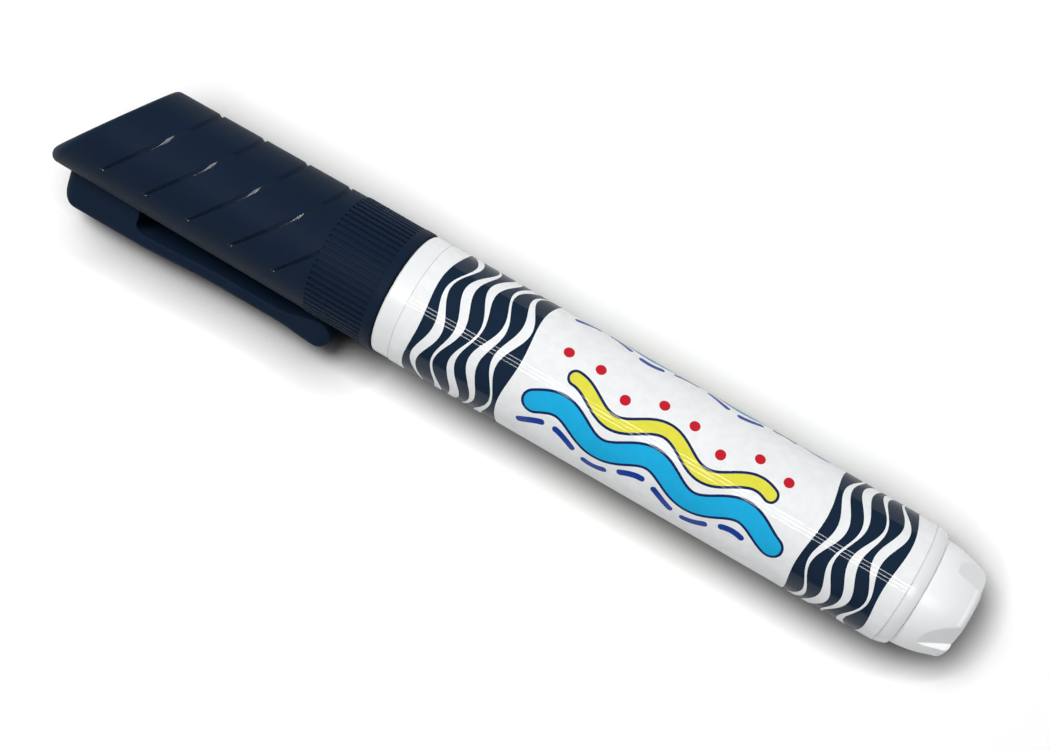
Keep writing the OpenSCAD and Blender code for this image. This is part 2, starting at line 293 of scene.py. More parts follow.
def bake_modifiers(piece: bpy.types.Object) -> None:
    """Replaces a piece's mesh by what its modifiers make of it, and removes them.

    Args:
        piece: the piece.
    """
    graph = bpy.context.evaluated_depsgraph_get()
    mesh = bpy.data.meshes.new_from_object(piece.evaluated_get(graph), depsgraph=graph)
    mesh.name = piece.name
    piece.modifiers.clear()
    piece.data = mesh


def soften(piece: bpy.types.Object, width: float) -> None:
    """Rounds a piece's sharp edges, as a mould's polish does.

    Args:
        piece: the piece.
        width: width of the rounding, in mm.
    """
    bevel = piece.modifiers.new("rounding", "BEVEL")
    bevel.width = width * MM
    bevel.segments = 3
    bevel.limit_method = "ANGLE"
    bevel.angle_limit = math.radians(SHARP)
    bevel.harden_normals = True
    bake_modifiers(piece)


def mount(piece: bpy.types.Object, body: Body, slot: Slot, *nodes: str) -> None:
    """Puts a piece on its body and hides the CAD nodes that it stands for.

    Args:
        piece: the piece.
        body: the body that it moves with.
        slot: not used.
        *nodes: the CAD nodes that it replaces.
    """
    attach(piece, body.value)
    if nodes:
        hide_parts(*nodes)
    log.info("%s rides on %s with %d faces", piece.name, body.value, len(piece.data.polygons))


@dataclass(frozen=True)
class Finish:
    """Finish of a piece, under one principled shader.

    Attributes:
        name: material and process.
    """

    name: str

    def skin(self, tree: bpy.types.NodeTree, place: bpy.types.NodeSocket) -> dict:
        """Adds the finish's own nodes.

        Args:
            tree: the tree that gets the nodes.
            place: the place on the piece.

        Returns:
            The shader's inputs.
        """
        raise NotImplementedError

    def make(self) -> bpy.types.Material:
        """Builds the material.

        Returns:
            The new material.
        """
        material = bpy.data.materials.new(self.name)
        tree = empty_tree(material)
        place = add_node(tree, "ShaderNodeTexCoord").outputs["Object"]
        shader = add_node(tree, "ShaderNodeBsdfPrincipled", self.skin(tree, place))
        add_node(tree, "ShaderNodeOutputMaterial", {"Surface": shader.outputs["BSDF"]})
        return material


@dataclass(frozen=True)
class MouldedPlastic(Finish):
    """Injection-moulded thermoplastic.

    The eye gets an even colour with a faint flow mottle, and a gloss that the mould's own grain breaks up.

    Attributes:
        tone: main colour.
        flow: colour of the flow mottle.
        roughness: mean roughness of the skin.
        grain: width of the mould's grain, in mm.
        relief: height of the grain, in mm.
        flow_size: width of the mottle, in mm.
        specular: strength of the surface reflection, 0.5 for the plain plastic.
        glow: share of light that scatters inside.
        glow_depth: how far that light goes, in mm.
        gloss_spread: how far the grain changes the roughness, as a share of it.
    """

    tone: str
    flow: str
    roughness: float
    grain: float
    relief: float
    flow_size: float = 6.0
    specular: float = 0.5
    glow: float = 0.0
    glow_depth: float = 0.8
    gloss_spread: float = 0.15

    def skin(self, tree: bpy.types.NodeTree, place: bpy.types.NodeSocket) -> dict:
        """Adds the flow mottle and the mould's grain.

        Args:
            tree: the tree that gets the nodes.
            place: the place on the piece.

        Returns:
            The shader's inputs.
        """
        mottle = add_node(tree, "ShaderNodeTexNoise", {"Vector": place, "Scale": 1 / (self.flow_size * MM),
                                                       "Detail": 3.0, "Roughness": 0.55})
        grain = add_node(tree, "ShaderNodeTexNoise", {"Vector": place, "Scale": 1 / (self.grain * MM),
                                                      "Detail": 2.0, "Roughness": 0.6})
        colour = add_node(tree, "ShaderNodeMix", {"Factor": mottle.outputs["Fac"], 6: linear(self.tone),
                                                  7: linear(self.flow)}, data_type="RGBA")
        gloss = add_node(tree, "ShaderNodeMapRange", {"Value": grain.outputs["Fac"], "From Min": 0.3,
                                                      "From Max": 0.7,
                                                      "To Min": self.roughness * (1 - self.gloss_spread),
                                                      "To Max": self.roughness * (1 + self.gloss_spread)})
        bump = add_node(tree, "ShaderNodeBump", {"Height": grain.outputs["Fac"], "Strength": 1.0,
                                                 "Distance": self.relief * MM})
        return {"Base Color": colour.outputs[2], "Roughness": gloss.outputs["Result"],
                "Normal": bump.outputs["Normal"], "IOR": PLASTIC_IOR, "Specular IOR Level": self.specular,
                "Subsurface Weight": self.glow, "Subsurface Radius": (1.0, 1.0, 1.0),
                "Subsurface Scale": self.glow_depth * MM}


@dataclass(frozen=True)
class PrintedFilm(Finish):
    """Gloss-laminated polypropylene film, printed in flat spot inks.

    The eye gets crisp inks under one clear glossy skin, so lamps draw sharp lines across ink and white alike.

    Attributes:
        attribute: the mesh attribute that holds each face's ink.
        lay_down: width of the ink's uneven lay-down, in mm.
        unevenness: how much darker the thin places are.
        roughness: roughness of the laminate.
        coat: strength of the laminate's reflection.
        ripple: width of the film's faint ripple, in mm.
        ripple_relief: height of the ripple, in mm.
    """

    attribute: str
    lay_down: float = 1.2
    unevenness: float = 0.05
    roughness: float = 0.05
    coat: float = 0.48
    ripple: float = 5.0
    ripple_relief: float = 0.006

    def skin(self, tree: bpy.types.NodeTree, place: bpy.types.NodeSocket) -> dict:
        """Adds the inks' lay-down and the film's ripple.

        Args:
            tree: the tree that gets the nodes.
            place: the place on the piece.

        Returns:
            The shader's inputs.
        """
        ink = add_node(tree, "ShaderNodeAttribute", attribute_name=self.attribute)
        cloud = add_node(tree, "ShaderNodeTexNoise", {"Vector": place, "Scale": 1 / (self.lay_down * MM),
                                                      "Detail": 3.0})
        shade = add_node(tree, "ShaderNodeMapRange", {"Value": cloud.outputs["Fac"], "From Min": 0.35,
                                                      "From Max": 0.65, "To Min": 1 - self.unevenness, "To Max": 1.0})
        colour = add_node(tree, "ShaderNodeMix", {"Factor": 1.0, 6: ink.outputs["Color"],
                                                  7: shade.outputs["Result"]}, data_type="RGBA", blend_type="MULTIPLY")
        wave = add_node(tree, "ShaderNodeTexNoise", {"Vector": place, "Scale": 1 / (self.ripple * MM), "Detail": 1.0})
        bump = add_node(tree, "ShaderNodeBump", {"Height": wave.outputs["Fac"], "Strength": 1.0,
                                                 "Distance": self.ripple_relief * MM})
        return {"Base Color": colour.outputs[2], "Roughness": 0.5, "Specular IOR Level": 0.0, "Coat Weight": self.coat,
                "Coat Roughness": self.roughness, "Coat IOR": PLASTIC_IOR, "Coat Normal": bump.outputs["Normal"]}


@dataclass(frozen=True)
class BondedFibre(Finish):
    """Fibre strands bonded into a rod and soaked in ink.

    The eye gets a dull dark felt with fine lengthwise strands and paler, dry strands between wet ones.

    Attributes:
        wet: colour of the soaked strands.
        dry: colour of the drier strands.
        strand: width of a strand, in mm.
        stretch: how many times longer than wide the strands look.
        relief: height of the strands, in mm.
    """

    wet: str
    dry: str
    strand: float
    stretch: float = 14.0
    relief: float = 0.03

    def skin(self, tree: bpy.types.NodeTree, place: bpy.types.NodeSocket) -> dict:
        """Adds the strands.

        Args:
            tree: the tree that gets the nodes.
            place: the place on the piece.

        Returns:
            The shader's inputs.
        """
        along = add_node(tree, "ShaderNodeMapping", {"Vector": place, "Scale": (1 / self.stretch, 1.0, 1.0)})
        strands = add_node(tree, "ShaderNodeTexNoise", {"Vector": along.outputs["Vector"],
                                                        "Scale": 1 / (self.strand * MM), "Detail": 2.0})
        tone = add_node(tree, "ShaderNodeMapRange", {"Value": strands.outputs["Fac"], "From Min": 0.4, "From Max": 0.7})
        colour = add_node(tree, "ShaderNodeMix", {"Factor": tone.outputs["Result"], 6: linear(self.wet),
                                                  7: linear(self.dry)}, data_type="RGBA")
        bump = add_node(tree, "ShaderNodeBump", {"Height": strands.outputs["Fac"], "Strength": 1.0,
                                                 "Distance": self.relief * MM})
        return {"Base Color": colour.outputs[2], "Roughness": 0.85, "Normal": bump.outputs["Normal"], "IOR": 1.5,
                "Sheen Weight": 0.15, "Sheen Roughness": 0.5}


@dataclass(frozen=True)
class Finishes:
    """The marker's finishes."""

    cap: MouldedPlastic = MouldedPlastic("satin_black_polypropylene", "#112130", "#172338", 0.55, 0.22, 0.006,
                                         specular=0.06)
    groove: MouldedPlastic = MouldedPlastic("tool_polished_black_polypropylene", "#112130", "#172338", 0.05, 0.22,
                                            0.0005)
    barrel: MouldedPlastic = MouldedPlastic("gloss_white_polypropylene", "#eff1f1", "#e8ebec", 0.24, 0.9, 0.002)
    plug: MouldedPlastic = MouldedPlastic("satin_white_polypropylene", "#f6f7f8", "#f1f3f4", 0.34, 0.4, 0.003)
    holder: MouldedPlastic = MouldedPlastic("white_moulded_nose_polypropylene", "#e9ebea", "#e2e5e4", 0.32, 0.5, 0.003)
    liner: MouldedPlastic = MouldedPlastic("natural_moulded_polyethylene", "#dcdeda", "#d2d5d1", 0.45, 0.5, 0.004,
                                           glow=0.15)
    wrap: MouldedPlastic = MouldedPlastic("clear_blown_film", "#d5d8dc", "#c6cad0", 0.2, 3.0, 0.01)
    label: PrintedFilm = PrintedFilm("gloss_laminated_printed_film", "ink")
    nib: BondedFibre = BondedFibre("bonded_polyester_fibre_nib", "#0c0d12", "#24262e", 0.12)
    core: BondedFibre = BondedFibre("soft_fibre_ink_core", "#101118", "#2b2d36", 0.2, 30.0, 0.05)


def lathe(profile: Profile, steps: int = 180) -> tuple[np.ndarray, list]:
    """Turns a closed outline about the axis.

    Args:
        profile: (radius, height) points round the outline.
        steps: sides of the turned form.

    Returns:
        Upright points and faces.
    """
    angle = np.arange(steps) * TURN / steps
    points = np.concatenate([turned(np.full(steps, r), angle, np.full(steps, h)) for r, h in profile + profile[:1]])
    return points, ring_faces(len(profile) + 1, steps)


def arc(centre: Point2, radius: float, start: float, end: float, steps: int = 8) -> Profile:
    """Points on an arc.

    Args:
        centre: the arc's centre.
        radius: its radius.
        start: first angle, in degrees.
        end: last angle, in degrees.
        steps: number of steps.

    Returns:
        The points, both ends included.
    """
    angles = np.radians(np.linspace(start, end, steps + 1))
    return [(centre[0] + radius * math.cos(a), centre[1] + radius * math.sin(a)) for a in angles]


@dataclass
class Label:
    """Printed film round the barrel, with a generic design of wave bands, ribbons, dots and dashes.

    The design is drawn flat, as (millimetres behind the shoulder, millimetres round from the top line), with
    the second growing towards the clip. It is cut into triangles along its own outlines and rolled up.

    Attributes:
        radius: outer radius of the film.
        thickness: thickness of the film.
        front: start of the film behind the shoulder.
        rear: end of the film.
        strips: flat strips that the film is rolled from.
        cut: width of the grey lines painted as shade along the film's front and rear edges.
        bands: front edge, rear edge and start of the waves of each dark band, the last in radians.
        band_swing: height of the waves of a band's edges.
        stripe_pitch: distance between a band's stripes, before it is fitted to the band.
        stripe_swing: height of a stripe's waves.
        stripe_half: half a stripe's mean width.
        stripe_swell: how much that swells and shrinks.
        groups: number of ribbon groups round the barrel.
        group_shift: distance of the middle group from the top line.
        ribbons: ink, distance from the group's middle, width, start and end of each ribbon.
        ribbon_rim: how much wider the dark line under a ribbon is.
        dots: distance from the group's middle, radius, start, end and wave points from dot to dot.
        dashes: distance from the group's middle, width, start, end and wave points from dash to dash.
        dash_points: wave points in a dash.
        swing: height of the ribbons' waves.
        wave_length: length of the ribbons' waves.
        step: distance between the points of a waving line.
        shapes: ink and outline of what is drawn, the lowest first.
    """

    radius: float = 8.4
    thickness: float = 0.09
    front: float = 2.6
    rear: float = 73.5
    strips: int = 144
    cut: float = 0.16
    bands: tuple[tuple[float, float, float], ...] = ((4.7, 18.6, 0.4), (59.9, 71.4, 2.6))
    band_swing: float = 0.3
    stripe_pitch: float = 2.9
    stripe_swing: float = 0.75
    stripe_half: float = 0.42
    stripe_swell: float = 0.26
    groups: int = 3
    group_shift: float = 0.9
    ribbons: tuple[tuple[Ink, float, float, float, float], ...] = ((Ink.CYAN, 2.9, 2.6, 22.2, 56.4),
                                                                   (Ink.YELLOW, -1.1, 1.5, 25.4, 53.2))
    ribbon_rim: float = 0.7
    dots: tuple[float, float, float, float, int] = (-4.3, 0.7, 23.0, 55.4, 18)
    dashes: tuple[float, float, float, float, int] = (6.0, 0.9, 21.4, 57.4, 19)
    dash_points: int = 12
    swing: float = 1.25
    wave_length: float = 13.0
    step: float = 0.25
    shapes: list[tuple[Ink, list[Point2]]] = field(default_factory=list)

    def round_length(self) -> float:
        """Length of the film round the barrel."""
        return TURN * self.radius

    def around(self, place: float, swing: float, waves: int, phase: float) -> tuple[np.ndarray, np.ndarray]:
        """A wavy line right round the barrel.

        Args:
            place: the line's mean distance behind the shoulder.
            swing: height of its waves.
            waves: whole waves in one turn.
            phase: start of the wave, in radians.

        Returns:
            Distances behind the shoulder, and distances round from the top line.
        """
        b = np.linspace(-0.5, 0.5, 2 * self.strips + 1) * self.round_length()
        return place + swing * np.sin(TURN * waves * b / self.round_length() + phase), b

    def add(self, ink: Ink, outline: list[Point2]) -> None:
        """Prints an outline over what is there, turned so that its inside is on the left.

        Args:
            ink: the ink.
            outline: points round the shape.
        """
        spots = np.array(outline, float)
        after = np.roll(spots, -1, 0)
        area = np.sum(spots[:, 0] * after[:, 1] - spots[:, 1] * after[:, 0])
        self.shapes.append((ink, [tuple(p) for p in (spots if area > 0 else spots[::-1]).tolist()]))

    def add_band(self, front: float, rear: float, phase: float) -> None:
        """Prints a dark band with pale wave stripes right round the barrel.

        Args:
            front: front edge of the band.
            rear: rear edge of the band.
            phase: start of its waves, in radians.
        """
        a0, b = self.around(front + self.band_swing, self.band_swing, 4, phase)
        a1, _ = self.around(rear - self.band_swing, self.band_swing, 4, phase + 1.1)
        self.add(Ink.DARK, [*zip(a0, b), *zip(a1[::-1], b[::-1])])
        count = round((rear - front) / self.stripe_pitch)
        for i in range(count):
            middle = front + (rear - front) * (i + 0.9) / (count + 0.8)
            centre, _ = self.around(middle, self.stripe_swing, 5, phase + 0.8 * i)
            swell, _ = self.around(self.stripe_half, self.stripe_swell, 3, phase + 2.1 * i)
            self.add(Ink.FILM, [*zip(centre - swell, b), *zip((centre + swell)[::-1], b[::-1])])

    def add_disc(self, ink: Ink, centre: Point2, radius: float) -> None:
        """Prints a disc."""
        self.add(ink, arc(centre, radius, 0, 354, 59))

    def add_stroke(self, ink: Ink, line: np.ndarray, width: float) -> None:
        """Prints a stroke with round ends along a smooth line.

        Args:
            ink: the ink.
            line: points of the line.
            width: the stroke's width.
        """
        way = np.gradient(line, axis=0)
        way /= np.linalg.norm(way, axis=1)[:, None]
        half, ends = width / 2, 75
        left = np.stack([-way[:, 1], way[:, 0]], 1) * half
        first, last = np.degrees(np.arctan2(way[[0, -1], 1], way[[0, -1], 0]))
        self.add(ink, [*(line - left), *arc(tuple(line[-1]), half, last - ends, last + ends, 10),
                       *(line + left)[::-1], *arc(tuple(line[0]), half, first + 180 - ends, first + 180 + ends, 10)])

    def wave(self, front: float, rear: float, place: float) -> np.ndarray:
        """Line that waves along the barrel.

        Args:
            front: its start behind the shoulder.
            rear: its end.
            place: its mean distance round from the top line.

        Returns:
            Points of the line.
        """
        a = np.linspace(front, rear, round((rear - front) / self.step) + 1)
        return np.stack([a, place + self.swing * np.sin(TURN * (a - self.front) / self.wave_length)], 1)

    def add_ribbons(self, middle: float) -> None:
        """Prints two ribbons, a row of dots and a row of dashes that wave together along the barrel.

        Args:
            middle: the group's distance round from the top line.
        """
        for ink, place, width, front, rear in self.ribbons:
            line = self.wave(front, rear, middle + place)
            self.add_stroke(Ink.NAVY, line, width + self.ribbon_rim)
            self.add_stroke(ink, line, width)
        place, radius, front, rear, pitch = self.dots
        for spot in self.wave(front, rear, middle + place)[::pitch]:
            self.add_disc(Ink.RED, tuple(spot), radius)
        place, width, front, rear, pitch = self.dashes
        line = self.wave(front, rear, middle + place)
        for first in range(0, len(line) - self.dash_points, pitch):
            self.add_stroke(Ink.BLUE, line[first:first + self.dash_points], width)

    def draw(self) -> None:
        """Draws the whole design, from the lowest ink to the uppermost, and the grey lines painted as shade along the
        film's edges.
        """
        seam = self.round_length() / 2
        # Painted shade: a thin grey strip at each film edge, where the film steps down to the barrel.
        for edge, inside in ((self.front, self.front + self.cut), (self.rear, self.rear - self.cut)):
            self.add(Ink.CUT, [(edge, -seam), (inside, -seam), (inside, seam), (edge, seam)])
        for band in self.bands:
            self.add_band(*band)
        for i in range(self.groups):
            self.add_ribbons((i - (self.groups - 1) / 2) * self.round_length() / self.groups + self.group_shift)

    def build(self, lie: Lie, material: bpy.types.Material) -> bpy.types.Object:
        """Cuts the design, rolls it up and gives the film its thickness.

        Args:
            lie: the marker's place.
            material: the film's finish.

        Returns:
            The film.
        """
        # The design is cut into triangles that no outline and no strip's edge crosses.
        self.draw()
        rounds = np.linspace(-0.5, 0.5, self.strips + 1) * self.round_length()
        flat = [(a, b) for b in rounds for a in (self.front, self.rear)]
        edges = [(2 * i, 2 * i + 1) for i in range(self.strips + 1)]
        edges += [(2 * i + k, 2 * i + 2 + k) for i in range(self.strips) for k in (0, 1)]
        outlines = []
        for _, outline in self.shapes:
            outlines.append(list(range(len(flat), len(flat) + len(outline))))
            flat += outline
        cut = delaunay_2d_cdt(flat, edges, outlines, 0, 1e-6)
        spots, triangles, owners = cut[0], cut[2], cut[5]
        outer = np.array([(p[0], p[1]) for p in spots])
        inner = np.array([(a, b) for a in (self.front, self.rear) for b in rounds])
        angle = np.concatenate([outer[:, 1], inner[:, 1]]) / self.radius
        radius = np.concatenate([np.full(len(outer), self.radius), np.full(len(inner), self.radius - self.thickness)])
        height = -np.concatenate([outer[:, 0], inner[:, 0]])
        points = lie.place(turned(radius, lie.top_angle() - angle, height))
        # The outer face keeps each triangle's ink, the inner face is plain strips, and lips join the two.
        shell = bmesh.new()
        layer = shell.faces.layers.int.new("ink_number")
        corners = [shell.verts.new(p) for p in points]
        inks = list(Ink)
        for triangle, owner in zip(triangles, owners):
            face = shell.faces.new([corners[i] for i in triangle])
            face[layer] = 1 + inks.index(self.shapes[max(owner)][0] if owner else Ink.FILM)
        n, m = len(outer), self.strips + 1
        for i in range(self.strips):
            shell.faces.new([corners[n + i], corners[n + i + 1], corners[n + m + i + 1], corners[n + m + i]])
        lips = {k: sorted((b, i) for i, (a, b) in enumerate(outer) if abs(a - a0) < 1e-5)
                for k, a0 in enumerate((self.front, self.rear))}
        for k, lip in lips.items():
            for j in range(self.strips):
                base = n + k * m + j
                shell.faces.new([corners[lip[j][1]], corners[lip[j + 1][1]], corners[base + 1], corners[base]])
        bmesh.ops.remove_doubles(shell, verts=shell.verts, dist=1e-7)
        bmesh.ops.recalc_face_normals(shell, faces=shell.faces)
        mesh = bpy.data.meshes.new("label_film_print")
        shell.to_mesh(mesh)
        shell.free()
        self.colour(mesh, inks)
        self.round_normals(mesh, lie)
        mesh.materials.append(material)
        return link(mesh.name, mesh)

    def colour(self, mesh: bpy.types.Mesh, inks: list[Ink]) -> None:
        """Stores each face's ink as a colour.

        Args:
            mesh: the film's mesh.
            inks: the inks, by number.
        """
        numbers = [max(entry.value - 1, 0) for entry in mesh.attributes["ink_number"].data]
        store = mesh.attributes.new("ink", "FLOAT_COLOR", "FACE")
        for entry, number in zip(store.data, numbers):
            entry.color = linear(inks[number].value)
        mesh.attributes.remove(mesh.attributes["ink_number"])

    def round_normals(self, mesh: bpy.types.Mesh, lie: Lie) -> None:
        """Gives the film's outer face the exact normals of a cylinder.

        Args:
            mesh: the film's mesh.
            lie: the marker's place.
        """
        mesh.shade_smooth()
        normals = []
        for face in mesh.polygons:
            across = face.center.copy()
            across.x = 0
            across.y -= lie.y * MM
            across.z -= lie.z * MM
            outside = face.normal.dot(across.normalized()) > 0.9
            for index in face.vertices:
                spot = mesh.vertices[index].co
                normals.append((0, spot.y - lie.y * MM, spot.z - lie.z * MM) if outside else tuple(face.normal))
        mesh.normals_split_custom_set([tuple(np.array(v) / np.linalg.norm(v)) for v in normals])


@dataclass
class Barrel:
    """White barrel with its neck, the printed film round it and the plug in its rear end.

    Attributes:
        radius: radius of the bare barrel.
        bore: radius of its bore.
        length: length behind the shoulder.
        lip_len: length of the rounded rear lip.
        lip_drop: how far the lip draws in.
        shoulder_break: edge break at the shoulder.
        neck: radius of the neck.
        neck_bore: bore of the neck.
        neck_len: length of the neck.
        bead: height of a grip bead.
        beads: heights of the beads.
        funnel: height of the funnel's narrow end.
        plug_len: length of the plug that shows.
        plug_base: radius of the plug at the barrel.
        plug_draw: how far the plug draws in to its rear edge.
        plug_edge: radius of its rear edge.
        spigot: length of its spigot.
        spigot_wall: wall of its spigot.
        plug_floor: thickness of its closed end.
        press_gap: clearance of the spigot.
        scoops: number of scoops.
        scoop_len: length of a scoop.
        scoop_span: angle of a scoop at the rear edge, in degrees.
        scoop_depth: depth of a scoop.
        scoop_turn: angle of the first scoop's wall from the clip, in degrees.
        scoop_wall: half the angle that a scoop's wall takes, in degrees.
        scoop_soft: softness of the edge between a scoop's ramp and the plug.
        ramp_past: angle past a scoop's span up to which its ramp may cut, in degrees.
        spigot_break: edge break of the spigot.
        plug_columns: points between two scoop walls.
        plug_rows: rings of points along the plug.
    """

    radius: float = 8.3
    bore: float = 7.3
    length: float = 75.3
    lip_len: float = 1.7
    lip_drop: float = 0.4
    shoulder_break: float = 0.25
    neck: float = 7.05
    neck_bore: float = 5.85
    neck_len: float = 9.5
    bead: float = 0.2
    beads: tuple[float, ...] = (2.4, 6.0)
    funnel: float = -3.9
    plug_len: float = 6.9
    plug_base: float = 7.45
    plug_draw: float = 1.15
    plug_edge: float = 1.1
    spigot: float = 9.0
    spigot_wall: float = 1.1
    plug_floor: float = 3.0
    press_gap: float = 0.02
    scoops: int = 4
    scoop_len: float = 4.6
    scoop_span: float = 42.0
    scoop_depth: float = 1.5
    scoop_turn: float = 67.0
    scoop_wall: float = 0.7
    scoop_soft: float = 0.03
    ramp_past: float = 18.0
    spigot_break: float = 0.4
    plug_columns: int = 110
    plug_rows: int = 75

    def tube_profile(self) -> Profile:
        """Outline of the barrel's wall.

        Returns:
            (radius, height) points round the wall.
        """
        rear = -self.length
        lip = [(self.radius - self.lip_drop * (1 - i / 12) ** 2, rear + self.lip_len * i / 12) for i in range(13)]
        beads = []
        for height in self.beads:
            half = 2 * self.bead
            beads += [(self.neck + self.bead * math.cos(math.pi * s / 2) ** 2, height + half * s)
                      for s in (-1, -0.6, -0.3, 0, 0.3, 0.6, 1)]
        return [(self.bore, rear), *lip, (self.radius, -self.shoulder_break),
                (self.radius - self.shoulder_break, 0), (self.neck, 0), *beads,
                (self.neck, self.neck_len - self.bead), (self.neck - self.bead, self.neck_len),
                (self.neck_bore, self.neck_len), (self.neck_bore, self.funnel),
                (self.bore, self.funnel - self.bore + self.neck_bore)]

    def plug_radius(self, height: np.ndarray) -> np.ndarray:
        """Radius of the plug before its scoops are cut.

        Args:
            height: heights from the plug's rear face up.

        Returns:
            The radii.
        """
        rise = np.clip((height - self.plug_edge) / (self.plug_len - self.plug_edge), 0, 1)
        side = self.plug_base - self.plug_draw * (1 - rise) ** 2
        drop = np.clip(self.plug_edge - height, 0, self.plug_edge)
        return side - (self.plug_edge - np.sqrt(np.maximum(self.plug_edge ** 2 - drop ** 2, 0)))

    def ramp_radius(self, angle: np.ndarray, height: np.ndarray) -> np.ndarray:
        """Radius of a scoop's ramp, at angles from the scoop's wall.

        Args:
            angle: angles from the wall, in radians.
            height: heights from the plug's rear face up.

        Returns:
            The radii, past the plug's own where the ramp doesn't cut.
        """
        rear_r = self.plug_base - self.plug_draw
        span = math.radians(self.scoop_span)
        tip = np.array([self.plug_base, 0, self.scoop_len])
        start = np.array([rear_r * math.cos(span), rear_r * math.sin(span), self.plug_edge / 2])
        deep = np.array([rear_r - self.scoop_depth, 0, 0])
        normal = np.cross(deep - tip, start - tip)
        across = normal[0] * np.cos(angle) + normal[1] * np.sin(angle)
        return (normal @ tip - normal[2] * height) / across

    def plug_mesh(self) -> tuple[np.ndarray, list]:
        """Closed plug with its scoops and its spigot.

        Returns:
            Upright points and faces.
        """
        quarter = TURN / self.scoops
        wall = math.radians(self.scoop_wall)
        fine = np.concatenate([np.linspace(-wall, wall, 9), np.linspace(wall, quarter - wall, self.plug_columns)[1:-1]])
        angle = np.concatenate([fine + i * quarter for i in range(self.scoops)])
        rows = []
        heights = np.concatenate([[0], self.plug_edge * (1 - np.cos(np.linspace(0.15, math.pi / 2, 9))),
                                  np.linspace(self.plug_edge, self.plug_len, self.plug_rows)[1:]])
        near = (angle + wall) % quarter - wall
        share = smooth_step(-wall, wall, near)
        cut = near < math.radians(self.scoop_span + self.ramp_past)
        soft = self.scoop_soft
        for height in heights:
            plain = np.full(len(angle), float(self.plug_radius(np.array(height))))
            ramp = np.where(cut, self.ramp_radius(np.maximum(near, 0), height), plain + 1)
            gap = ramp - plain
            low = np.where(gap > soft, plain, np.where(gap < -soft, ramp, plain - (soft - gap) ** 2 / (4 * soft)))
            rows.append((plain + (low - plain) * share, height))
        inner = self.bore - self.press_gap
        hollow = inner - self.spigot_wall
        stations = [(0.0 * angle, 0.0), (rows[0][0] * 0.5, 0.0), (rows[0][0] * 0.92, 0.0), *rows]
        tip = self.plug_len + self.spigot
        for radius, height in ((inner, self.plug_len), (inner, tip - self.spigot_break),
                               (inner - self.spigot_break, tip), (hollow, tip), (hollow, self.plug_floor),
                               (0.0, self.plug_floor)):
            stations.append((np.full(len(angle), radius), height))
        turn = angle + math.radians(self.scoop_turn)
        base = -self.length - self.plug_len
        points = np.concatenate([turned(r, turn, np.full(len(turn), base + h)) for r, h in stations])
        return points, ring_faces(len(stations), len(turn))

    def build(self, lie: Lie, finishes: Finishes) -> None:
        """Builds and dresses the barrel, the film, the plug and the pieces inside.

        Args:
            lie: the marker's place.
            finishes: the marker's finishes.
        """
        points, faces = lathe(self.tube_profile())
        tube = make_object("barrel_tube", lie.place(points), faces, finishes.barrel.make())
        soften(tube, width=0.1)
        mount(tube, Body.BARREL, Slot.BARREL, "barrel")
        film = Label().build(lie, finishes.label.make())
        mount(film, Body.BARREL, Slot.LABEL, "label_film")
        points, faces = self.plug_mesh()
        plug = make_object("end_plug_scooped", lie.place(points), faces, finishes.plug.make(), sharp=50)
        mount(plug, Body.BARREL, Slot.PLUG, "end_plug")
        for node, finish in (("nib_holder", finishes.holder), ("nib", finishes.nib), ("ink_reservoir", finishes.core),
                             ("reservoir_wrap", finishes.wrap)):
            dress(node, finish.make())


def dress(node: str, material: bpy.types.Material) -> None:
    """Gives a CAD node that stays in view its finish.

    Args:
        node: the node's name.
        material: the finish.
    """
    target = frame["nodes"][node]
    target.data.materials.clear()
    target.data.materials.append(material)
    log.info("%s keeps its CAD shape in %s", node, material.name)


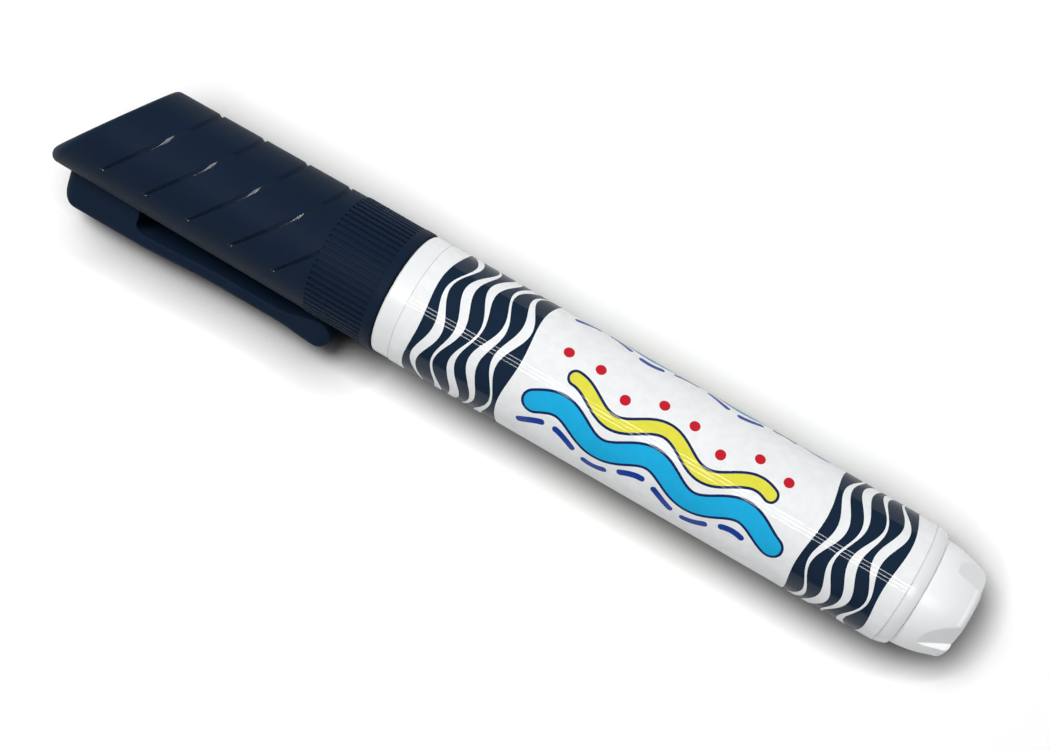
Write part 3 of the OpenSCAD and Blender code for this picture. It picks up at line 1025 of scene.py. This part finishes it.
@dataclass
class CapShell:
    """Black cap with a slanted end, slanted grip grooves and a ribbed collar.

    Attributes:
        end: height at which the slanted end crosses the axis.
        slant: slope of the end, in degrees.
        body: radius of the body at the collar.
        taper: taper of the body on the radius, per mm of height.
        edge: radius of the edge round the slanted end.
        collar: height of the collar's upper edge.
        rim: radius of the smooth rim.
        rim_top: height of the rim.
        rim_edge: radius of the rim's upper edge.
        mouth_edge: radius of the edges at the cap's mouth.
        seat: gap between the rim and the shoulder.
        rib_count: number of ribs.
        rib_root: radius between the ribs.
        rib_crest: radius of the rib crests.
        rib_share: share of the pitch that a crest takes.
        rib_edge: radius of a rib's edges.
        rib_sunk: how deep the ribs are set into the collar.
        rib_lap: how far they run into the rim.
        groove_count: number of grooves.
        groove_first: distance from the slanted end to the first groove along the axis.
        groove_pitch: distance between grooves along the axis.
        groove_edges: distances from a groove's middle to the upper edge, the bottom and the lower edge.
        groove_depth: depth of a groove.
        groove_soft: softness of a groove's edges.
        groove_hollow: how much steeper than its mean a groove's long wall is at its upper edge.
        groove_stop: angle from the clip at which grooves stop, in degrees.
        groove_runout: half the angle over which a groove's end rises, in degrees.
        polish: angles from the clip between which the grooves are polished, as their ends are, in degrees.
        bore: radius of the bore.
        step: height of the step in the bore.
        inner: radius beyond the step.
        wall: thickness of the end wall.
        columns: points in a ring.
    """

    end: float = 44.2
    slant: float = 40.0
    body: float = 8.25
    taper: float = 0.011
    edge: float = 1.2
    collar: float = 9.8
    rim: float = 8.45
    rim_top: float = 1.5
    rim_edge: float = 0.12
    mouth_edge: float = 0.2
    seat: float = 0.1
    rib_count: int = 60
    rib_root: float = 8.07
    rib_crest: float = 8.37
    rib_share: float = 0.4
    rib_edge: float = 0.06
    rib_sunk: float = 0.1
    rib_lap: float = 0.05
    groove_count: int = 5
    groove_first: float = 6.4
    groove_pitch: float = 6.3
    groove_edges: tuple[float, float, float] = (0.25, -0.17, -0.31)
    groove_depth: float = 0.27
    groove_soft: float = 0.006
    groove_hollow: float = 0.44
    groove_stop: float = 74.0
    groove_runout: float = 1.3
    polish: tuple[float, float] = (106.0, 152.0)
    bore: float = 7.3
    step: float = 12.5
    inner: float = 6.6216
    wall: float = 1.25
    columns: int = 420

    def angles(self) -> np.ndarray:
        """Angles of the columns, closer together where the grooves end.

        Returns:
            Angles from the clip's side, in radians, in rising order.
        """
        even = np.linspace(0, 360, self.columns, endpoint=False)
        stop = self.groove_stop + self.groove_runout * np.linspace(-1.1, 1.1, 13)
        return np.radians(np.unique(np.round(np.concatenate([even, stop, 360 - stop]), 4)))

    def slope(self) -> float:
        """Rise of the slanted end per mm towards the clip."""
        return math.tan(math.radians(self.slant))

    def stretch(self) -> float:
        """Length along the axis of 1 mm square to the slanted end."""
        return math.hypot(1, self.slope())

    def body_radius(self, height: np.ndarray) -> np.ndarray:
        """Radius of the tapered body at a height."""
        return self.body - self.taper * (height - self.collar)

    def groove_depths(self, angle: np.ndarray, height: np.ndarray) -> np.ndarray:
        """Depths of the grooves: a long hollow wall on the side of the cap's end, and a steep one on the other side.

        Args:
            angle: angles from the clip's side, in radians.
            height: heights.

        Returns:
            The depth at each point.
        """
        level = height - self.slope() * self.body_radius(height) * np.cos(angle)
        depth = np.zeros_like(level)
        top, bottom, foot = self.groove_edges
        for middle in self.grooves():
            across = (level - middle) / self.stretch()
            down = (top - across) / (top - bottom)
            hollow = (1 + self.groove_hollow) * down - self.groove_hollow * down * down
            wall = self.groove_depth * np.minimum(hollow, (across - foot) / (bottom - foot))
            depth += (wall + np.sqrt(wall * wall + self.groove_soft ** 2)) / 2 * (np.abs(across) < 2 * top)
        away = np.degrees(np.minimum(angle, TURN - angle))
        return depth * smooth_step(self.groove_stop - self.groove_runout, self.groove_stop + self.groove_runout, away)

    def shiny(self, angle: np.ndarray, height: np.ndarray) -> np.ndarray:
        """Which points lie in a groove, above the collar, where the tool was polished.

        Args:
            angle: angles from the clip's side, in radians.
            height: heights.

        Returns:
            1 for such points and 0 for the others.
        """
        away = np.degrees(np.minimum(angle, TURN - angle))
        polished = (away > self.polish[0]) & (away < self.polish[1]) | (away < self.groove_stop + self.groove_runout)
        return (polished & (height > self.collar + 0.1)
                & (self.groove_depths(angle, height) > self.groove_soft)).astype(float)

    def grooves(self) -> list[float]:
        """Heights at which the grooves' middles cross the axis, from the top down."""
        return [self.end - self.groove_first - i * self.groove_pitch for i in range(self.groove_count)]

    def levels(self) -> list[float]:
        """Levels of the rows that run parallel to the slanted end, from the top down.

        Returns:
            Heights at which each row's plane crosses the axis.
        """
        top, bottom, foot = self.groove_edges
        close = np.array([0.05, 0.02, 0.0, -0.02, -0.05])
        tight, margin = 0.6 * close, 0.2
        across = self.stretch() * np.concatenate([[top + margin], top + close, np.linspace(top - 0.1, bottom + 0.06, 5),
                                                  bottom + tight, foot + tight, [foot - margin]])
        rows = []
        for middle in self.grooves():
            rows += list(middle + across)
            rows += list(np.linspace(rows[-1], middle - self.groove_pitch + across[0], 5)[1:-1])
        lowest = self.collar - self.slope() * self.body
        return rows + list(np.linspace(rows[-1], lowest, 4)[1:])

    def rows(self) -> list[tuple[np.ndarray, np.ndarray]]:
        """Rings of the closed shell, from the middle of its end, down the outside and back up the inside.

        Returns:
            For each ring, the radius and the height at each column.
        """
        angle = self.angles()
        slope = self.slope() * np.cos(angle)
        base = self.body + self.taper * self.collar
        corner_r = (base - self.taper * self.end) / (1 + self.taper * slope)
        corner = np.stack([corner_r, self.end + slope * corner_r], 1)
        down = np.broadcast_to(np.array([self.taper, -1]) / math.hypot(self.taper, 1), corner.shape)
        inward = np.stack([-np.ones_like(slope), -slope], 1) / np.sqrt(1 + slope ** 2)[:, None]
        half = np.arccos(np.sum(down * inward, 1)) / 2
        reach = (self.edge / np.tan(half))[:, None]
        middle = corner + (down + inward) / np.linalg.norm(down + inward, axis=1)[:, None] \
            * (self.edge / np.sin(half))[:, None]
        first, last = corner + reach * inward - middle, corner + reach * down - middle
        sweep = np.pi - 2 * half
        rings = []
        for share in (0, 0.3, 0.6, 0.85):
            rings.append(np.array([0, self.end]) * (1 - share) + (middle + first) * share)
        for t in np.linspace(0, 1, 12):
            a, b = np.sin((1 - t) * sweep) / np.sin(sweep), np.sin(t * sweep) / np.sin(sweep)
            rings.append(middle + first * a[:, None] + last * b[:, None])
        levels = self.levels()
        start = rings[-1]
        height = self.row_height(levels[0], slope, base)
        for share in (0.25, 0.5, 0.75):
            mixed = start[:, 1] * (1 - share) + height * share
            rings.append(np.stack([self.body_radius(mixed), mixed], 1))
        for level in levels:
            height = np.maximum(self.row_height(level, slope, base), self.collar)
            depth = self.groove_depths(angle, height)
            rings.append(np.stack([self.body_radius(height) - depth, height], 1))
        mouth = self.seat + self.mouth_edge
        fixed = [(self.rib_root, self.collar), (self.rib_root, self.rim_top),
                 *arc((self.rim - self.rim_edge, self.rim_top - self.rim_edge), self.rim_edge, 90, 0, 4),
                 *arc((self.rim - self.mouth_edge, mouth), self.mouth_edge, 0, -90, 5),
                 *arc((self.bore + self.mouth_edge, mouth), self.mouth_edge, -90, -180, 4),
                 (self.bore, self.step), (self.inner, self.step)]
        rings += [np.broadcast_to(np.array(p), corner.shape) for p in fixed]
        inside = self.end - self.wall * self.stretch()
        rings.append(np.stack([np.full_like(slope, self.inner), inside + slope * self.inner], 1))
        rings.append(np.stack([np.zeros_like(slope), np.full_like(slope, inside)], 1))
        return [(ring[:, 0], ring[:, 1]) for ring in rings]

    def row_height(self, level: float, slope: np.ndarray, base: float) -> np.ndarray:
        """Heights at which a slanted row meets the body.

        Args:
            level: height at which the row's plane crosses the axis.
            slope: slope of the row at each column.
            base: radius of the body's cone at height 0.

        Returns:
            The heights at each column.
        """
        return (level + slope * base) / (1 + slope * self.taper)

    def rib_tree(self) -> bpy.types.NodeTree:
        """Geometry Nodes that set the collar's ribs round the axis.

        Returns:
            The tree, with named inputs for its sizes in metres.
        """
        tree = bpy.data.node_groups.new("collar_ribs", "GeometryNodeTree")
        for name, kind in (("Count", "Int"), ("Root radius", "Float"), ("Height", "Float"), ("Foot width", "Float"),
                           ("Crest width", "Float"), ("Edge radius", "Float"), ("First turn", "Float"),
                           ("Front end", "Vector"), ("Rear end", "Vector"), ("Finish", "Material")):
            tree.interface.new_socket(name, in_out="INPUT", socket_type=f"NodeSocket{kind}")
        tree.interface.new_socket("Ribs", in_out="OUTPUT", socket_type="NodeSocketGeometry")
        given = add_node(tree, "NodeGroupInput").outputs
        section = add_node(tree, "GeometryNodeCurvePrimitiveQuadrilateral", {
            "Height": given["Height"], "Bottom Width": given["Foot width"], "Top Width": given["Crest width"],
            "Offset": 0.0}, mode="TRAPEZOID")
        rounded = add_node(tree, "GeometryNodeFilletCurve", {"Curve": section.outputs["Curve"],
                                                             "Radius": given["Edge radius"], "Count": 3}, mode="POLY")
        span = add_node(tree, "ShaderNodeVectorMath", {0: given["Rear end"], 1: given["Front end"]},
                        operation="SUBTRACT")
        length = add_node(tree, "ShaderNodeSeparateXYZ", {0: span.outputs[0]})
        run = add_node(tree, "ShaderNodeCombineXYZ", {"X": length.outputs["X"]})
        line = add_node(tree, "GeometryNodeCurvePrimitiveLine", {"End": run.outputs[0]})
        bar = add_node(tree, "GeometryNodeCurveToMesh", {"Curve": line.outputs["Curve"],
                                                         "Profile Curve": rounded.outputs["Curve"],
                                                         "Fill Caps": True})
        lift = add_node(tree, "ShaderNodeCombineXYZ", {"Z": given["Root radius"]})
        raised = add_node(tree, "GeometryNodeTransform", {"Geometry": bar.outputs["Mesh"],
                                                          "Translation": lift.outputs[0]})
        spots = add_node(tree, "GeometryNodeMeshLine", {"Count": given["Count"], "Start Location": given["Front end"],
                                                        "Offset": (0.0, 0.0, 0.0)})
        number = add_node(tree, "GeometryNodeInputIndex")
        share = add_node(tree, "ShaderNodeMath", {0: number.outputs[0], 1: given["Count"]}, operation="DIVIDE")
        turn = add_node(tree, "ShaderNodeMath", {0: share.outputs[0], 1: TURN, 2: given["First turn"]},
                        operation="MULTIPLY_ADD")
        rotation = add_node(tree, "FunctionNodeAxisAngleToRotation", {"Axis": (1.0, 0.0, 0.0),
                                                                      "Angle": turn.outputs[0]})
        ring = add_node(tree, "GeometryNodeInstanceOnPoints", {"Points": spots.outputs["Mesh"],
                                                               "Instance": raised.outputs["Geometry"],
                                                               "Rotation": rotation.outputs["Rotation"]})
        real = add_node(tree, "GeometryNodeRealizeInstances", {"Geometry": ring.outputs["Instances"]})
        coloured = add_node(tree, "GeometryNodeSetMaterial", {"Geometry": real.outputs["Geometry"],
                                                              "Material": given["Finish"]})
        add_node(tree, "NodeGroupOutput", {0: coloured.outputs["Geometry"]})
        return tree

    def ribs(self, lie: Lie, material: bpy.types.Material) -> bpy.types.Object:
        """Collar ribs, set a little into the collar so that they join it.

        Args:
            lie: the marker's place.
            material: the cap's finish.

        Returns:
            The ribs as one piece.
        """
        rise = self.rib_crest - self.rib_root + self.rib_sunk
        pitch = TURN * self.rib_crest / self.rib_count
        crest = pitch * self.rib_share
        front, rear = lie.place(np.array([[0, 0, self.collar], [0, 0, self.rim_top - self.rib_lap]]))
        values = {"Count": self.rib_count, "Root radius": (self.rib_crest - rise / 2) * MM, "Height": rise * MM,
                  "Foot width": (crest + pitch * (1 - 2 * self.rib_share)) * MM, "Crest width": crest * MM,
                  "Edge radius": self.rib_edge * MM,
                  "First turn": lie.top_angle() - TURN * (0.5 - self.rib_share / 2) / self.rib_count,
                  "Front end": tuple(front), "Rear end": tuple(rear), "Finish": material}
        piece = link("cap_collar_ribs", bpy.data.meshes.new("cap_collar_ribs"))
        modifier = piece.modifiers.new("ribs", "NODES")
        modifier.node_group = self.rib_tree()
        for item in modifier.node_group.interface.items_tree:
            if item.in_out == "INPUT":
                modifier[item.identifier] = values[item.name]
        bake_modifiers(piece)
        piece.data.shade_smooth()
        piece.data.set_sharp_from_angle(angle=math.radians(40))
        return piece

    def build(self, lie: Lie, finishes: Finishes, material: bpy.types.Material) -> None:
        """Builds and dresses the cap and its liner.

        Args:
            lie: the marker's place.
            finishes: the marker's finishes.
            material: the cap's finish.
        """
        angle = self.angles()
        rings = self.rows()
        points = np.concatenate([turned(r, angle, h) for r, h in rings])
        polished = np.concatenate([self.shiny(angle, h) for _, h in rings])
        shell = make_object("cap_shell_grooved", lie.place(points), ring_faces(len(rings), len(angle)), material,
                            sharp=50, polished=polished)
        shell.data.materials.append(finishes.groove.make())
        marks = np.empty(len(shell.data.vertices))
        shell.data.attributes["polished"].data.foreach_get("value", marks)
        for face in shell.data.polygons:
            face.material_index = int(marks[list(face.vertices)].mean() > 0.5)
        mount(shell, Body.CAP, Slot.CAP, "cap_shell")
        mount(self.ribs(lie, material), Body.CAP, Slot.CAP)
        dress("cap_liner", finishes.liner.make())


@dataclass
class Clip:
    """Springy pocket clip, one moulding with its root on the cap.

    Attributes:
        outer: radius of the arm's outer face.
        rise: how far the root stands out beyond the arm.
        ease: length over which the arm comes down from its root.
        thickness: thickness of the arm.
        width: width of the arm.
        top: height of the root's end.
        root_radius: radius of the root's end.
        root_in: radius at which the root is inside the cap's wall.
        bend: height of the bending line.
        crook: radius of the hollow between the root and the arm.
        foot: height of the free end.
        foot_in: radius of the foot's inner side.
        foot_out: radius of the foot's outer side.
        swell: length of the swell at the free end.
        edge: radius of the long outer edges.
        inner_edge: radius of the long inner edges.
        foot_narrow: how much narrower the arm's free end is.
        root_narrow: how much narrower the root's end is.
        bend_zone: heights above the bending line between which the clip would bend; not used.
    """

    outer: float = 12.05
    rise: float = 0.6
    ease: float = 13.0
    thickness: float = 2.0
    width: float = 5.6
    top: float = 46.3
    root_radius: float = 1.8
    root_in: float = 7.0
    bend: float = 35.6
    crook: float = 1.3
    foot: float = 6.2
    foot_in: float = 8.75
    foot_out: float = 12.55
    swell: float = 6.0
    edge: float = 0.9
    inner_edge: float = 0.25
    foot_narrow: float = 1.6
    root_narrow: float = 1.0
    bend_zone: tuple[float, float] = (0.8, -2.4)

    def side(self, height: float) -> tuple[float, float, float]:
        """Inner radius, outer radius and width of the clip at a height.

        Args:
            height: the height.

        Returns:
            The three sizes.
        """
        round_r = (self.foot_out - self.foot_in) / 2
        middle = (self.foot_out + self.foot_in) / 2
        swell_low = self.foot + round_r
        rise = float(smooth_step(swell_low, swell_low + self.swell, np.array(height)))
        lift = self.rise * float(smooth_step(self.bend - self.ease, self.bend, np.array(height)))
        inner = self.foot_in + (self.outer - self.thickness - self.foot_in) * rise + lift
        outer = self.foot_out + (self.outer - self.foot_out) * rise + lift
        width = self.width
        if height < swell_low:
            half = math.sqrt(max(round_r ** 2 - (swell_low - height) ** 2, 0))
            inner, outer = middle - half, middle + half
            width = self.width - self.foot_narrow * (1 - half / round_r)
        hollow = self.bend - self.crook
        if height > hollow:
            share = min((height - hollow) / self.crook, 1)
            inner -= (inner - self.root_in) if share >= 1 else self.crook * (1 - math.sqrt(1 - share * share))
        if height > self.top - self.root_radius:
            over = height - self.top + self.root_radius
            outer -= self.root_radius - math.sqrt(max(self.root_radius ** 2 - over ** 2, 0))
            width -= self.root_narrow * (over / self.root_radius) ** 3
        return inner, outer, width

    def heights(self) -> np.ndarray:
        """Heights of the sections, closer together at the ends and the bend.

        Returns:
            Heights in rising order.
        """
        round_r, blunt = (self.foot_out - self.foot_in) / 2, 0.06
        low = self.foot + round_r * (1 - np.cos(np.linspace(blunt, math.pi / 2, 14)))
        high = self.top - self.root_radius * (1 - np.sin(np.linspace(0, math.pi / 2 - blunt, 14)))
        bend = self.bend - self.crook * (1 - np.sin(np.linspace(0, math.pi / 2, 12)))
        swell = np.linspace(self.foot + round_r, self.foot + round_r + self.swell, 12)
        arm = np.linspace(swell[-1], self.bend - self.crook, 16)
        root = np.linspace(self.bend + 0.02, self.top - self.root_radius, 8)
        return np.unique(np.round(np.concatenate([low, swell, arm, bend, root, high]), 5))

    def section(self, height: float) -> np.ndarray:
        """Rounded section of the clip at a height.

        Args:
            height: the height.

        Returns:
            Upright points round the section.
        """
        inner, outer, width = self.side(height)
        half = (outer - inner) / 2
        big, small = min(self.edge, half * 0.95), min(self.inner_edge, half * 0.9)
        side = width / 2
        outline = [*arc((outer - big, -side + big), big, -90, 0, 7), (outer, 0.0),
                   *arc((outer - big, side - big), big, 0, 90, 7),
                   *arc((inner + small, side - small), small, 90, 180, 4), (inner, 0.0),
                   *arc((inner + small, -side + small), small, 180, 270, 4)]
        return np.array([(u, v, height) for u, v in outline])

    def build(self, lie: Lie, material: bpy.types.Material) -> None:
        """Builds the clip in place of the CAD clip, which it hides.

        Args:
            lie: the marker's place.
            material: the cap's finish.
        """
        heights = self.heights()
        sections = [self.section(h) for h in heights]
        count = len(sections[0])
        points = np.concatenate(sections)
        faces = ring_faces(len(sections), count)
        faces += [tuple(range(count))[::-1], tuple(range(len(points) - count, len(points)))]
        piece = make_object("pocket_clip", lie.place(points), faces, material, sharp=50)
        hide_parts("clip")
        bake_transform(piece)
        log.info("%s bends between cap and clip with %d faces", piece.name, len(piece.data.polygons))


@dataclass
class Studio:
    """White table, soft light and the camera straight over the marker.

    Attributes:
        camera_at: the camera's place, in mm.
        camera_turn: its rotation, in degrees.
        lens: its focal length, in mm, on a 36 mm sensor.
        shift: its lens shift, as the photograph's framing needs.
        walls: strength of the even light from the sides.
        ceiling: strength of the even light from above.
        sky_bend: rise of the rays between which the walls pass over to the ceiling.
        key_lean: turn of the main lamp from straight overhead, and the side that it is turned to, in degrees.
        key_distance: distance of the main lamp, in metres.
        key_size: side of the main lamp, in metres.
        key_power: power of the main lamp, in watts.
        tubes: turn of each lamp tube from straight overhead towards the clip, in degrees.
        tube_distance: distance of the tubes, in metres.
        tube_size: length and width of a tube, in metres.
        tube_power: power of a tube, in watts.
        shade_lean: turn and side of the half space that shades the table next to the marker, in degrees.
        shade_reach: how far from the marker the table is shaded, in mm.
        shade_floor: openness at which the shade is darkest, and the paper's share of white there.
        lift: light that the table shows the camera beyond what falls on it, near the marker and far from it.
        lift_reach: distances from the marker at which the lift begins and stops growing, in metres.
        paper: colour of the table.
        table_half: half the table's side, in metres.
    """

    camera_at: tuple[float, float, float] = (31.36, 1.16, 212.8)
    camera_turn: tuple[float, float, float] = (0.15, 1.54, 30.07)
    lens: float = 55.0
    shift: tuple[float, float] = (-0.15, 0.1)
    walls: float = 0.1
    ceiling: float = 0.16
    sky_bend: tuple[float, float] = (0.05, 0.55)
    key_lean: tuple[float, float] = (18.0, 152.0)
    key_distance: float = 0.9
    key_size: float = 0.42
    key_power: float = 8.1
    tubes: tuple[float, ...] = (1.5, 8.0, 14.5)
    tube_distance: float = 0.9
    tube_size: tuple[float, float] = (1.2, 0.012)
    tube_power: float = 2.0
    shade_lean: tuple[float, float] = (40.0, 155.0)
    shade_reach: float = 8.0
    shade_floor: tuple[float, float] = (0.36, 0.02)
    lift: tuple[float, float] = (0.1, 0.8)
    lift_reach: tuple[float, float] = (0.2, 1.2)
    paper: str = "#f4f4f4"
    table_half: float = 3.0

    def camera(self) -> None:
        """Makes the scene's camera."""
        data = bpy.data.cameras.new("camera")
        data.sensor_width = 36.0
        data.lens = self.lens
        data.shift_x, data.shift_y = self.shift
        data.clip_start, data.clip_end = 0.01, 20.0
        camera = link("camera", data)
        camera.location = [c * MM for c in self.camera_at]
        camera.rotation_euler = Euler([math.radians(a) for a in self.camera_turn])
        bpy.context.scene.camera = camera

    def lamp(self, name: str, tilt: float, heading: float, distance: float, size: tuple[float, float],
             power: float) -> bpy.types.Object:
        """Hangs a soft rectangular lamp that faces the marker.

        Args:
            name: the lamp's name.
            tilt: its turn from straight overhead, in degrees.
            heading: the side that it is turned to, in degrees from the row's +X towards +Y.
            distance: its distance from the marker, in metres.
            size: its sides, in metres, the first across its heading and the second along it.
            power: its power, in watts.

        Returns:
            The lamp.
        """
        data = bpy.data.lights.new(name, "AREA")
        data.shape = "RECTANGLE"
        data.size, data.size_y = size
        data.energy = power
        lamp = link(name, data)
        lamp.location = [distance * c for c in self.lean(tilt, heading)]
        lamp.rotation_euler = Euler((-math.radians(tilt), 0, math.radians(heading - 90)))
        return lamp

    def lean(self, tilt: float, heading: float) -> tuple[float, float, float]:
        """Way from the marker to something above it.

        Args:
            tilt: its turn from straight overhead, in degrees.
            heading: the side that it is turned to, in degrees from the row's +X towards +Y.

        Returns:
            The way, of length 1.
        """
        down, side = math.radians(tilt), math.radians(heading)
        return (math.sin(down) * math.cos(side), math.sin(down) * math.sin(side), math.cos(down))

    def seen(self, tree: bpy.types.NodeTree) -> bpy.types.NodeSocket:
        """Value that is 1 for rays that show the background and 0 for those that light the marker.

        Args:
            tree: the tree that gets the nodes.

        Returns:
            The value's socket.
        """
        path = add_node(tree, "ShaderNodeLightPath").outputs
        two = add_node(tree, "ShaderNodeMath", {0: path["Is Camera Ray"], 1: path["Is Glossy Ray"]},
                       operation="MAXIMUM")
        return add_node(tree, "ShaderNodeMath", {0: two.outputs[0], 1: path["Is Transmission Ray"]},
                        operation="MAXIMUM").outputs[0]

    def floor(self) -> None:
        """Lays a white paper table that keeps the marker's shadow, with more shade painted into its colour next to the
        marker.
        """
        half = self.table_half
        mesh = bpy.data.meshes.new("table")
        mesh.from_pydata([(-half, -half, 0), (half, -half, 0), (half, half, 0), (-half, half, 0)], [], [(0, 1, 2, 3)])
        material = bpy.data.materials.new("white_paper_table")
        tree = empty_tree(material)
        side = add_node(tree, "ShaderNodeCombineXYZ", dict(enumerate(self.lean(*self.shade_lean)))).outputs[0]
        # Painted shadow: the paper's colour and its lift are darkened towards black close to the marker, as far as it
        # closes off the leaning half space.
        near = add_node(tree, "ShaderNodeAmbientOcclusion", {"Distance": self.shade_reach * MM, "Normal": side})
        shade = add_node(tree, "ShaderNodeMapRange", {
            "Value": near.outputs["AO"], "From Min": self.shade_floor[0], "From Max": 1.0,
            "To Min": self.shade_floor[1], "To Max": 1.0}).outputs["Result"]
        colour = add_node(tree, "ShaderNodeMix", {"Factor": shade, 6: (0.0, 0.0, 0.0, 1.0), 7: linear(self.paper)},
                          data_type="RGBA")
        paper = add_node(tree, "ShaderNodeBsdfDiffuse", {"Color": colour.outputs[2]})
        place = add_node(tree, "ShaderNodeTexCoord").outputs["Object"]
        away = add_node(tree, "ShaderNodeVectorMath", {0: place}, operation="LENGTH").outputs["Value"]
        more = add_node(tree, "ShaderNodeMapRange", {
            "Value": away, "From Min": self.lift_reach[0], "From Max": self.lift_reach[1],
            "To Min": self.lift[0], "To Max": self.lift[1]})
        lift = add_node(tree, "ShaderNodeMath", {0: self.seen(tree), 1: more.outputs["Result"]}, operation="MULTIPLY")
        kept = add_node(tree, "ShaderNodeMath", {0: lift.outputs[0], 1: shade}, operation="MULTIPLY")
        light = add_node(tree, "ShaderNodeEmission", {"Strength": kept.outputs[0]})
        both = add_node(tree, "ShaderNodeAddShader", {0: paper.outputs[0], 1: light.outputs[0]})
        add_node(tree, "ShaderNodeOutputMaterial", {"Surface": both.outputs[0]})
        mesh.materials.append(material)
        link("table", mesh)

    def sky(self) -> None:
        """Lights the marker evenly from all sides, from the ceiling down to the walls."""
        world = bpy.data.worlds.new("studio")
        tree = empty_tree(world)
        way = add_node(tree, "ShaderNodeTexCoord").outputs["Generated"]
        height = add_node(tree, "ShaderNodeSeparateXYZ", {0: way}).outputs["Z"]
        strength = add_node(tree, "ShaderNodeMapRange", {
            "Value": height, "From Min": self.sky_bend[0], "From Max": self.sky_bend[1], "To Min": self.walls,
            "To Max": self.ceiling}, interpolation_type="SMOOTHSTEP")
        light = add_node(tree, "ShaderNodeBackground", {"Color": (1.0, 1.0, 1.0, 1.0),
                                                        "Strength": strength.outputs["Result"]})
        add_node(tree, "ShaderNodeOutputWorld", {"Surface": light.outputs[0]})
        bpy.context.scene.world = world

    def build(self) -> None:
        """Sets up the whole studio."""
        bpy.context.scene.view_settings.view_transform = "Standard"
        self.camera()
        self.floor()
        self.sky()
        key = self.lamp("key", *self.key_lean, self.key_distance, (self.key_size, self.key_size), self.key_power)
        key.visible_glossy = False
        for i, turn in enumerate(self.tubes):
            tube = self.lamp(f"tube_{i}", turn, -90, self.tube_distance, self.tube_size, self.tube_power)
            tube.visible_diffuse = False


def main() -> None:
    logging.basicConfig(level=logging.INFO, format="%(name)s: %(message)s")
    finishes = Finishes()
    Studio().build()
    barrel = Barrel()
    lie = Lie.from_frame(barrel.length)
    barrel.build(lie, finishes)
    black = finishes.cap.make()
    CapShell().build(lie, finishes, black)
    Clip().build(lie, black)


if __name__ == "__main__":
    main()
